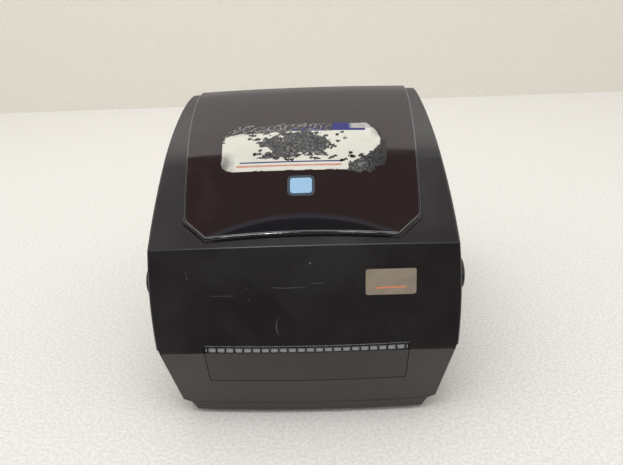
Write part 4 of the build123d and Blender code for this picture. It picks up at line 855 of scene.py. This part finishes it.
@dataclass
class Window:
    """Smoked window, and the torn paper and scrapings left on it."""

    left: float = -50.9
    right: float = 51.4
    low: float = 48.9
    high: float = 84.2
    turn: float = math.radians(-0.4)
    cell: float = 0.34
    half: float = 73.6
    front: float = 19.4
    back: float = 205.0
    corner_cut: tuple[float, float] = (13.9, 8.9)
    rim_radius: float = 0.6
    rim_inset: float = 0.4
    lip_radius: float = 1.5
    lip_inset: float = 1.3
    lip_fade: float = 7.0
    least_inset: float = 0.05
    rim_step: float = 3.0
    rim_facets: int = 28
    film_margin: float = 3.0
    film_gap: float = 0.005
    track_start: float = 20.0
    track_reach: float = 5.0
    paper_thickness: float = 0.12
    residue_thickness: float = 0.05
    plastic: WindowPlastic = field(default_factory=WindowPlastic)
    paper: PatchPaper = field(default_factory=PatchPaper)
    residue: PatchResidue = field(default_factory=PatchResidue)

    def dress(self, nodes: Nodes) -> None:
        """Finish the window and stick the remains on it.

        Args:
            nodes: Objects of the frame by name.
        """
        window = nodes["lid_window"]
        dress(window, self.plastic.material())
        tree = surface_tree(window)
        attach(self.rim(tree), "lid")
        for name, kept, thickness, material in (
            ("window_paper", self.kept_paper, self.paper_thickness, self.paper.material()),
            ("window_scrapings", self.kept_residue, self.residue_thickness, self.residue.material()),
        ):
            piece = self.film(name, tree, kept, thickness, material)
            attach(piece, "lid")
            LOG.info("%s has %d faces", name, len(piece.data.polygons))

    def rim_line(self, tree: BVHTree) -> list[tuple[Vector, Vector, float]]:
        """Line that the bead follows, under the window's edge.

        Args:
            tree: Search tree over the window.

        Returns:
            Centre, outward direction and radius in millimetres at each step.
        """
        cut_x, cut_y = self.corner_cut
        down = Vector((0, 0, -1))
        outline = [Vector((x, FRONT + y, 0)) * MM for x, y in (
            (-self.half, self.back), (-self.half, self.front + cut_y), (cut_x - self.half, self.front),
            (self.half - cut_x, self.front), (self.half, self.front + cut_y), (self.half, self.back))]
        inwards = [Vector((0, 0, 1)).cross(b - a).normalized() for a, b in zip(outline, outline[1:])]
        line = []
        for number, (a, b) in enumerate(zip(outline, outline[1:])):
            steps = max(2, int((b - a).length / (self.rim_step * MM)))
            for step in range(steps + (number == len(inwards) - 1)):
                spot, inward = a.lerp(b, step / steps), inwards[number]
                if number and not step:
                    inward = (inward + inwards[number - 1]).normalized()
                full = min(1.0, max(0.0, 1.0 - (spot.y / MM - FRONT - self.front - cut_y) / self.lip_fade))
                depth = self.rim_inset + full * (self.lip_inset - self.rim_inset)
                above = spot + inward * depth * MM + Vector((0, 0, RAY_HEIGHT))
                normal = tree.ray_cast(above, down)[1]
                inset = max(self.least_inset, depth * (1 + Vector(normal).dot(inward)))
                hit, normal, _, _ = tree.ray_cast(above + inward * (inset - depth) * MM, down)
                normal = Vector(normal).normalized()
                radius = self.rim_radius + full * (self.lip_radius - self.rim_radius)
                line.append((hit - normal * depth * MM, normal, radius))
        return line

    def rim(self, tree: BVHTree) -> Piece:
        """Rounded bead along the window's front and sides, fuller at the front.

        Args:
            tree: Search tree over the window.

        Returns:
            The new piece.
        """
        line = self.rim_line(tree)
        facets = self.rim_facets
        turns = [2 * math.pi * k / facets for k in range(facets)]
        mesh = bmesh.new()
        rings = []
        for number, (centre, normal, radius) in enumerate(line):
            earlier, later = line[max(number - 1, 0)][0], line[min(number + 1, len(line) - 1)][0]
            ahead = (later - earlier).normalized()
            aside = ahead.cross(normal).normalized()
            up = aside.cross(ahead).normalized()
            rings.append([mesh.verts.new(centre + (aside * math.cos(t) + up * math.sin(t)) * radius * MM)
                          for t in turns])
        for first, second in zip(rings, rings[1:]):
            for k in range(facets):
                after = (k + 1) % facets
                mesh.faces.new((first[k], first[after], second[after], second[k]))
        mesh.faces.new(list(reversed(rings[0])))
        mesh.faces.new(rings[-1])
        bmesh.ops.recalc_face_normals(mesh, faces=mesh.faces)
        return mesh_object("window_rim", mesh, WINDOW_RIM.material())

    def kept_paper(self, spots: Spots) -> Grid:
        """Which places still carry paper.

        Args:
            spots: Places on the window.

        Returns:
            True where there is paper.
        """
        x, s = spots.x, spots.s
        torn = spots.torn(5.0, 1.3, 7)
        sheet = spots.torn(14.0, 0.25, 3).inside((
            (-44.5, 48.9), (29.8, 48.9), (31.2, 52.2), (34.4, 55.2), (41.0, 57.8), (46.6, 61.6), (50.6, 66.6),
            (51.3, 72.0), (49.6, 76.4), (46.8, 80.2), (44.0, 83.2), (42.5, 84.2), (21.3, 84.2), (20.6, 81.6),
            (12.0, 80.6), (7.0, 81.8), (0.0, 80.6), (-6.0, 80.2), (-12.0, 77.6), (-21.7, 77.0), (-30.0, 76.6),
            (-39.4, 77.2), (-45.6, 75.8), (-49.0, 74.4), (-50.6, 71.0), (-50.8, 52.4), (-47.6, 49.8),
        ))
        top_left = (torn.s > 76.4) & (x < 20.9) & (torn.s > np.where(x > -6.0, 80.8 + 0.05 * x, 77.9))
        low_right = torn.inside((
            (29.0, 47.0), (30.2, 51.8), (33.6, 55.0), (40.6, 57.4), (46.0, 61.4), (50.0, 66.0), (56.0, 66.0),
            (56.0, 47.0),
        ))
        left_end = (torn.x < -50.0) & (s > 70.0)
        hole = spots.torn(5.5, 2.1, 19).inside((
            (-25.4, 69.8), (-21.5, 71.8), (-17.0, 74.6), (-13.0, 73.4), (-8.5, 76.4), (1.5, 76.6),
            (9.0, 75.4), (13.0, 73.6), (16.0, 70.6), (19.6, 68.4), (17.6, 64.0), (12.8, 61.8), (16.0, 59.0),
            (8.2, 59.4), (-1.0, 60.4), (-6.0, 57.2), (-12.5, 57.0), (-18.0, 58.8), (-27.0, 58.4),
            (-22.0, 61.2), (-17.0, 63.2), (-21.0, 66.4), (-27.5, 67.4),
        ))
        rough = spots.torn(2.2, 0.55, 29)
        nicks = np.logical_or.reduce([nick.covers(rough) for nick in NICKS])
        strip_nicks = (s > 77.6) & (x < 20.5) & (ripple(x * 0.7, s, 3.4, 23, 4) > 0.05)
        flakes = hole & (ripple(x * 0.5, s * 1.4, 2.6, 31, 4) > 0.86)
        bare = hole | nicks | strip_nicks | low_right | left_end | top_left
        return sheet & (~bare | flakes)

    def kept_residue(self, spots: Spots) -> Grid:
        """Which places carry scrapings of paper and glue.

        Args:
            spots: Places on the window.

        Returns:
            True where there are scrapings.
        """
        rough = spots.torn(8.0, 1.5, 53)
        middle = spots.inside(((-29.0, 56.4), (22.0, 56.4), (22.0, 79.0), (-29.0, 79.0)))
        top = rough.inside((
            (-49.0, 75.0), (-46.0, 80.0), (-40.0, 84.6), (-24.0, 84.0), (-6.0, 84.6), (8.0, 83.8),
            (20.8, 84.4), (21.0, 77.0), (-50.0, 74.0),
        ))
        right = rough.inside((
            (46.0, 60.0), (51.5, 66.0), (53.2, 72.0), (51.6, 77.2), (48.0, 81.4), (43.0, 84.0), (41.6, 82.0),
            (46.6, 76.0), (48.0, 68.0),
        ))
        smear = rough.inside((
            (28.6, 49.0), (30.0, 56.0), (38.0, 61.0), (46.0, 65.0), (52.0, 71.0), (55.4, 69.0), (55.0, 60.0),
            (52.6, 52.6), (44.0, 47.6), (35.0, 46.4),
        ))
        holes = ripple(spots.x, spots.s, 3.6, 61, 5)
        gone = (top & (holes > 0.35)) | (right & (holes > 0.15)) | (smear & (holes > 0.95))
        return (middle | top | right | smear) & ~(gone & ~middle)

    def film(self, name: str, tree: BVHTree, kept: Callable[[Spots], Grid],
             thickness: float, material: bpy.types.Material) -> Piece:
        """Thin closed film that lies on the window.

        Args:
            name: Name of the piece.
            tree: Search tree over the window.
            kept: Says which places the film covers.
            thickness: Its thickness in millimetres.
            material: Its material.

        Returns:
            The new piece.
        """
        margin = self.film_margin
        across = int((self.right - self.left + 2 * margin) / self.cell) + 1
        up = int((self.high - self.low + 2 * margin) / self.cell) + 1
        x, s = np.meshgrid(np.linspace(self.left - margin, self.right + margin, across),
                           np.linspace(self.low - margin, self.high + margin, up), indexing="ij")
        present = kept(Spots(x, s))
        track = self.track(tree, self.high + margin + 2.0)
        mesh = bmesh.new()
        uv = mesh.loops.layers.uv.new("patch")
        tops: dict[tuple[int, int], bmesh.types.BMVert] = {}
        feet: dict[tuple[int, int], bmesh.types.BMVert] = {}
        shares: dict[bmesh.types.BMVert, tuple[float, float]] = {}
        cells = [(i, j) for i in range(across - 1) for j in range(up - 1)
                 if present[i, j] and present[i + 1, j] and present[i, j + 1] and present[i + 1, j + 1]]
        corner_steps = ((0, 0), (1, 0), (1, 1), (0, 1))
        for i, j in cells:
            for di, dj in corner_steps:
                spot = (i + di, j + dj)
                if spot in tops:
                    continue
                px, ps = x[spot], s[spot]
                turned = ps + math.tan(self.turn) * px
                base, normal = self.on_window(tree, track, px, turned)
                tops[spot] = mesh.verts.new(base + normal * thickness * MM)
                feet[spot] = mesh.verts.new(base + normal * self.film_gap * MM)
                shares[tops[spot]] = shares[feet[spot]] = (
                    (px - self.left) / (self.right - self.left), (ps - self.low) / (self.high - self.low))
        taken = set(cells)
        for i, j in cells:
            ring = [(i + di, j + dj) for di, dj in corner_steps]
            faces = [[tops[r] for r in ring], [feet[r] for r in reversed(ring)]]
            for (a, b), step in zip(zip(ring, ring[1:] + ring[:1]), ((0, -1), (1, 0), (0, 1), (-1, 0))):
                if (i + step[0], j + step[1]) not in taken:
                    faces.append([tops[b], tops[a], feet[a], feet[b]])
            for corners in faces:
                for loop in mesh.faces.new(corners).loops:
                    loop[uv].uv = shares[loop.vert]
        mesh.normal_update()
        return mesh_object(name, mesh, material)

    def track(self, tree: BVHTree, length: float) -> list[tuple[float, Vector, Vector]]:
        """Points up the middle of the window, with their distance from the crease.

        Args:
            tree: Search tree over the window.
            length: How far the track runs, in millimetres.

        Returns:
            Distance in millimetres, point and outward direction of each.
        """
        along = Vector((0, math.cos(SLOPE_ANGLE), math.sin(SLOPE_ANGLE)))
        outward = Vector((0, -math.sin(SLOPE_ANGLE), math.cos(SLOPE_ANGLE)))
        place = Vector((0, CREASE[0], CREASE[1])) * MM + along * self.track_start * MM
        points = [(self.track_start, place, outward)]
        while points[-1][0] < length:
            distance, last, normal = points[-1]
            ahead = Vector((1, 0, 0)).cross(normal).normalized()
            ahead = ahead if ahead.z > -0.2 and ahead.y > 0 else -ahead
            hit, new_normal, _, _ = tree.ray_cast(last + ahead * MM + normal * self.track_reach * MM, -normal)
            if hit is None:
                hit, new_normal = last + ahead * MM, normal
            points.append((distance + 1.0, hit, Vector(new_normal).normalized()))
        return points

    @staticmethod
    def on_window(tree: BVHTree, track: list, x: float, s: float) -> tuple[Vector, Vector]:
        """Point of the window at a place across and up it.

        Args:
            tree: Search tree over the window.
            track: Points up its middle.
            x: Place across, in millimetres.
            s: Place up the window, in millimetres.

        Returns:
            The point and the outward direction there.
        """
        step = min(max(int(s - track[0][0]), 0), len(track) - 2)
        share = s - track[step][0]
        place = track[step][1].lerp(track[step + 1][1], share)
        normal = track[step][2].lerp(track[step + 1][2], share).normalized()
        start = place + Vector((x * MM, 0, 0)) + normal * 20 * MM
        hit, new_normal, _, _ = tree.ray_cast(start, -normal)
        return hit, Vector(new_normal).normalized()


@dataclass(frozen=True)
class Controls(Assembly):
    """Feed button with its ring, power switch and side latch."""

    finishes: Finishes = (
        (BUTTON_BLUE, "feed_button"),
        (RING_GREY, "button_bezel"),
        (BRIGHT_STEEL, "latch_shaft catch_pins"),
        (DARK_CATCH, "latch_hooks latch_pads"),
        (SOCKET_BLACK, "switch_housing power_rocker"),
        (BOARD, "button_board"),
    )


@dataclass(frozen=True)
class Mouth(Assembly):
    """Tear blade, strip and name plate on the front."""

    finishes: Finishes = (
        (BLADE_STEEL, "tear_blade"),
        (STRIP_GREY, "exit_strip"),
        (PlateFoil(), "name_plate"),
    )


@dataclass(frozen=True)
class Mechanism(Assembly):
    """Print mechanism, media deck, slides and ribbon unit."""

    finishes: Finishes = (
        (ZINC_SHEET, "side_frame_left side_frame_right ribbon_cheek_left ribbon_cheek_right "
                     "head_crossbar head_bracket ribbon_motor_bracket"),
        (BRIGHT_STEEL, "platen_shaft chassis_rods sensor_rail idler_stud chassis_screws head_springs"),
        (PLATEN_RUBBER, "platen_roller"),
        (ACETAL, "platen_gear idler_gear take_up_gear guide_pinion holder_pinion platen_bushes "
                 "supply_spindle take_up_spindle"),
        (GEAR_BRASS, "motor_pinion ribbon_pinion"),
        (MOTOR_CAN, "drive_motor ribbon_motor"),
        (GLAZED_HEAD, "print_head"),
        (SINK_ALUMINIUM, "head_sink"),
        (BLACK_MOULDING, "media_deck roll_holder_left roll_holder_right label_guide_left "
                         "label_guide_right gap_sensor"),
    )


@dataclass(frozen=True)
class Electronics(Assembly):
    """Main board, rear panel and sockets."""

    finishes: Finishes = (
        (BOARD, "main_board"),
        (CHIP_BLACK, "board_components"),
        (ZINC_SHEET, "rear_panel"),
        (SOCKET_SHELL, "serial_socket usb_socket"),
        (SOCKET_BLACK, "power_inlet"),
    )


@dataclass
class Studio:
    """Camera, floor, wall and light."""

    frame_width: int = 623
    focal: float = 591.57
    place: tuple[float, float, float] = (18.27, -308.43, 269.43)
    down: float = 0.4180
    turn: float = 0.0373
    roll: float = -0.0430
    wall: float = 880.0
    near_edge: float = -222.0
    floor_tone: Colour = (0.815, 0.80, 0.77)
    wall_tone: Colour = (0.80, 0.77, 0.705)
    sky: tuple = ((0.0, 0.05), (0.01, 0.40), (0.18, 0.47), (0.32, 0.50), (0.45, 0.53), (0.72, 0.84),
                  (1.0, 1.20), (1.28, 1.52), (1.56, 1.70), (1.83, 1.76), (1.86, 0.12), (2.6, 0.07),
                  (3.14, 0.05))
    sky_tone: Colour = (1.0, 0.985, 0.96)
    room: float = 0.82
    floor_half: float = 4.0
    wall_height: float = 2.2
    ceiling_place: tuple[float, float, float] = (-0.15, -0.02, 1.7)
    ceiling_size: tuple[float, float] = (1.8, 1.4)
    ceiling_power: float = 12.5
    glint_row: tuple[float, float, float] = (0.0, -2.27, 1.37)
    glint_aim: tuple[float, float, float] = (0, -0.1, 0.12)
    glint_height: float = 0.20
    glints: tuple = ((0.0, 3.6, 5.0), (-0.60, 0.22, 4.0), (-0.34, 0.12, 6.0), (0.26, 0.24, 3.2),
                     (0.58, 0.18, 2.0))

    def camera(self) -> Piece:
        """Stand the camera where the photograph was taken from.

        Returns:
            The camera.
        """
        c, s = math.cos(self.turn), math.sin(self.turn)
        ce, se = math.cos(self.down), math.sin(self.down)
        right, ahead = Vector((c, s, 0)), Vector((-s * ce, c * ce, -se))
        up = Vector((-s * se, c * se, ce))
        cr, sr = math.cos(self.roll), math.sin(self.roll)
        x_axis, y_axis = right * cr + up * sr, up * cr - right * sr
        data = bpy.data.cameras.new("camera")
        data.sensor_width = SENSOR_WIDTH
        data.lens = SENSOR_WIDTH * self.focal / self.frame_width
        data.clip_start, data.clip_end = 0.01, 50.0
        camera = bpy.data.objects.new("camera", data)
        turned = Matrix((x_axis, y_axis, -ahead)).transposed().to_4x4()
        place = Vector((self.place[0], FRONT + self.place[1], self.place[2])) * MM
        camera.matrix_world = Matrix.Translation(place) @ turned
        bpy.context.scene.collection.objects.link(camera)
        bpy.context.scene.camera = camera
        return camera

    def stage(self) -> None:
        """Lay the pale floor and stand the wall behind it."""
        floor = Finish("floor_paper", self.floor_tone, 0.85, grain=Grain.FOAM, depth=0.5, vary=0.075)
        wall = Finish("wall_paper", self.wall_tone, 0.9, grain=Grain.FOAM, depth=0.3, vary=0.04)
        near, far = self.near_edge * MM, self.wall * MM
        side, top = self.floor_half, self.wall_height
        for name, corners, finish, mirrored in (
            ("studio_floor", ((-side, near, 0), (side, near, 0), (side, far, 0), (-side, far, 0)),
             floor, True),
            ("studio_apron", ((-side, -side, 0), (side, -side, 0), (side, near, 0), (-side, near, 0)),
             floor, False),
            ("studio_wall", ((-side, far, 0), (side, far, 0), (side, far, top), (-side, far, top)),
             wall, False),
        ):
            mesh = bmesh.new()
            mesh.faces.new([mesh.verts.new(c) for c in corners])
            piece = mesh_object(name, mesh, finish.material())
            piece.visible_glossy = mirrored

    def lamp(self, name: str, place: tuple, aim: tuple, size: tuple, power: float,
             glint: bool = False) -> Piece:
        """Hang one soft lamp.

        Args:
            name: Name of the lamp.
            place: Where it hangs, in metres.
            aim: Point it faces.
            size: Width and height in metres.
            power: Power in watts.
            glint: Whether it only shines in the object's gloss, or only lights it softly.

        Returns:
            The lamp.
        """
        data = bpy.data.lights.new(name, "AREA")
        data.shape, data.size, data.size_y, data.energy = "RECTANGLE", size[0], size[1], power
        lamp = bpy.data.objects.new(name, data)
        lamp.location = place
        lamp.rotation_euler = (Vector(aim) - Vector(place)).to_track_quat("-Z", "Y").to_euler()
        lamp.visible_glossy, lamp.visible_diffuse = glint, not glint
        bpy.context.scene.collection.objects.link(lamp)
        return lamp

    def light(self) -> None:
        """Light the studio softly from above, with small lamps that glint on the window's lip."""
        self.lamp("ceiling", self.ceiling_place, (0, 0, 0), self.ceiling_size, self.ceiling_power)
        _, y, z = self.glint_row
        for number, (x, width, power) in enumerate(self.glints):
            self.lamp(f"glint_{number}", (x, y, z), self.glint_aim, (width, self.glint_height), power, True)

    def surround(self) -> None:
        """Give the world a sky that only gloss shows, and one plain level for all else."""
        world = bpy.data.worlds.new("studio")
        bpy.context.scene.world = world
        world.use_nodes = True
        net = Net(world.node_tree)
        net.tree.nodes.clear()
        x, y, z = net.split(net.add("ShaderNodeTexCoord").outputs["Generated"])
        ramp = net.add("ShaderNodeValToRGB")
        net.link(net.math("DIVIDE", net.math("ARCTAN2", z, y), math.pi), ramp.inputs["Fac"])
        stops = ramp.color_ramp.elements
        while len(stops) < len(self.sky):
            stops.new(0.5)
        for stop, (turn, level) in zip(stops, self.sky):
            stop.position = turn / math.pi
            stop.color = (level / SKY_RANGE, level / SKY_RANGE, level / SKY_RANGE, 1.0)
        sideways = net.ramp(net.math("ABSOLUTE", x), 0.45, 0.85, interpolation_type="SMOOTHSTEP")
        aside = net.ramp(z, 0.2, 0.6, 0.08, 0.7)
        seen = net.times(net.blend(sideways, ramp.outputs["Color"], aside, Mixed.NUMBER), SKY_RANGE)
        glossy = net.add("ShaderNodeLightPath").outputs["Is Glossy Ray"]
        glow = net.add("ShaderNodeBackground")
        net.feed(glow.inputs["Color"], self.sky_tone)
        net.link(net.blend(glossy, self.room, seen, Mixed.NUMBER), glow.inputs["Strength"])
        net.link(glow.outputs[0], net.add("ShaderNodeOutputWorld").inputs["Surface"])

    def build(self) -> None:
        """Set up the whole studio."""
        self.camera()
        self.stage()
        self.light()
        self.surround()
        bpy.context.scene.view_settings.view_transform = "Standard"
        LOG.info("studio ready")


def main() -> None:
    """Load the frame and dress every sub-assembly."""
    logging.basicConfig(level=logging.INFO, format="%(name)s: %(message)s")
    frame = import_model()
    nodes = frame["nodes"]
    Studio().build()
    for assembly in (Casing(), Window(), Controls(), Mouth(), Mechanism(), Electronics()):
        assembly.dress(nodes)
    LOG.info("sizes written")


if __name__ == "__main__":
    main()
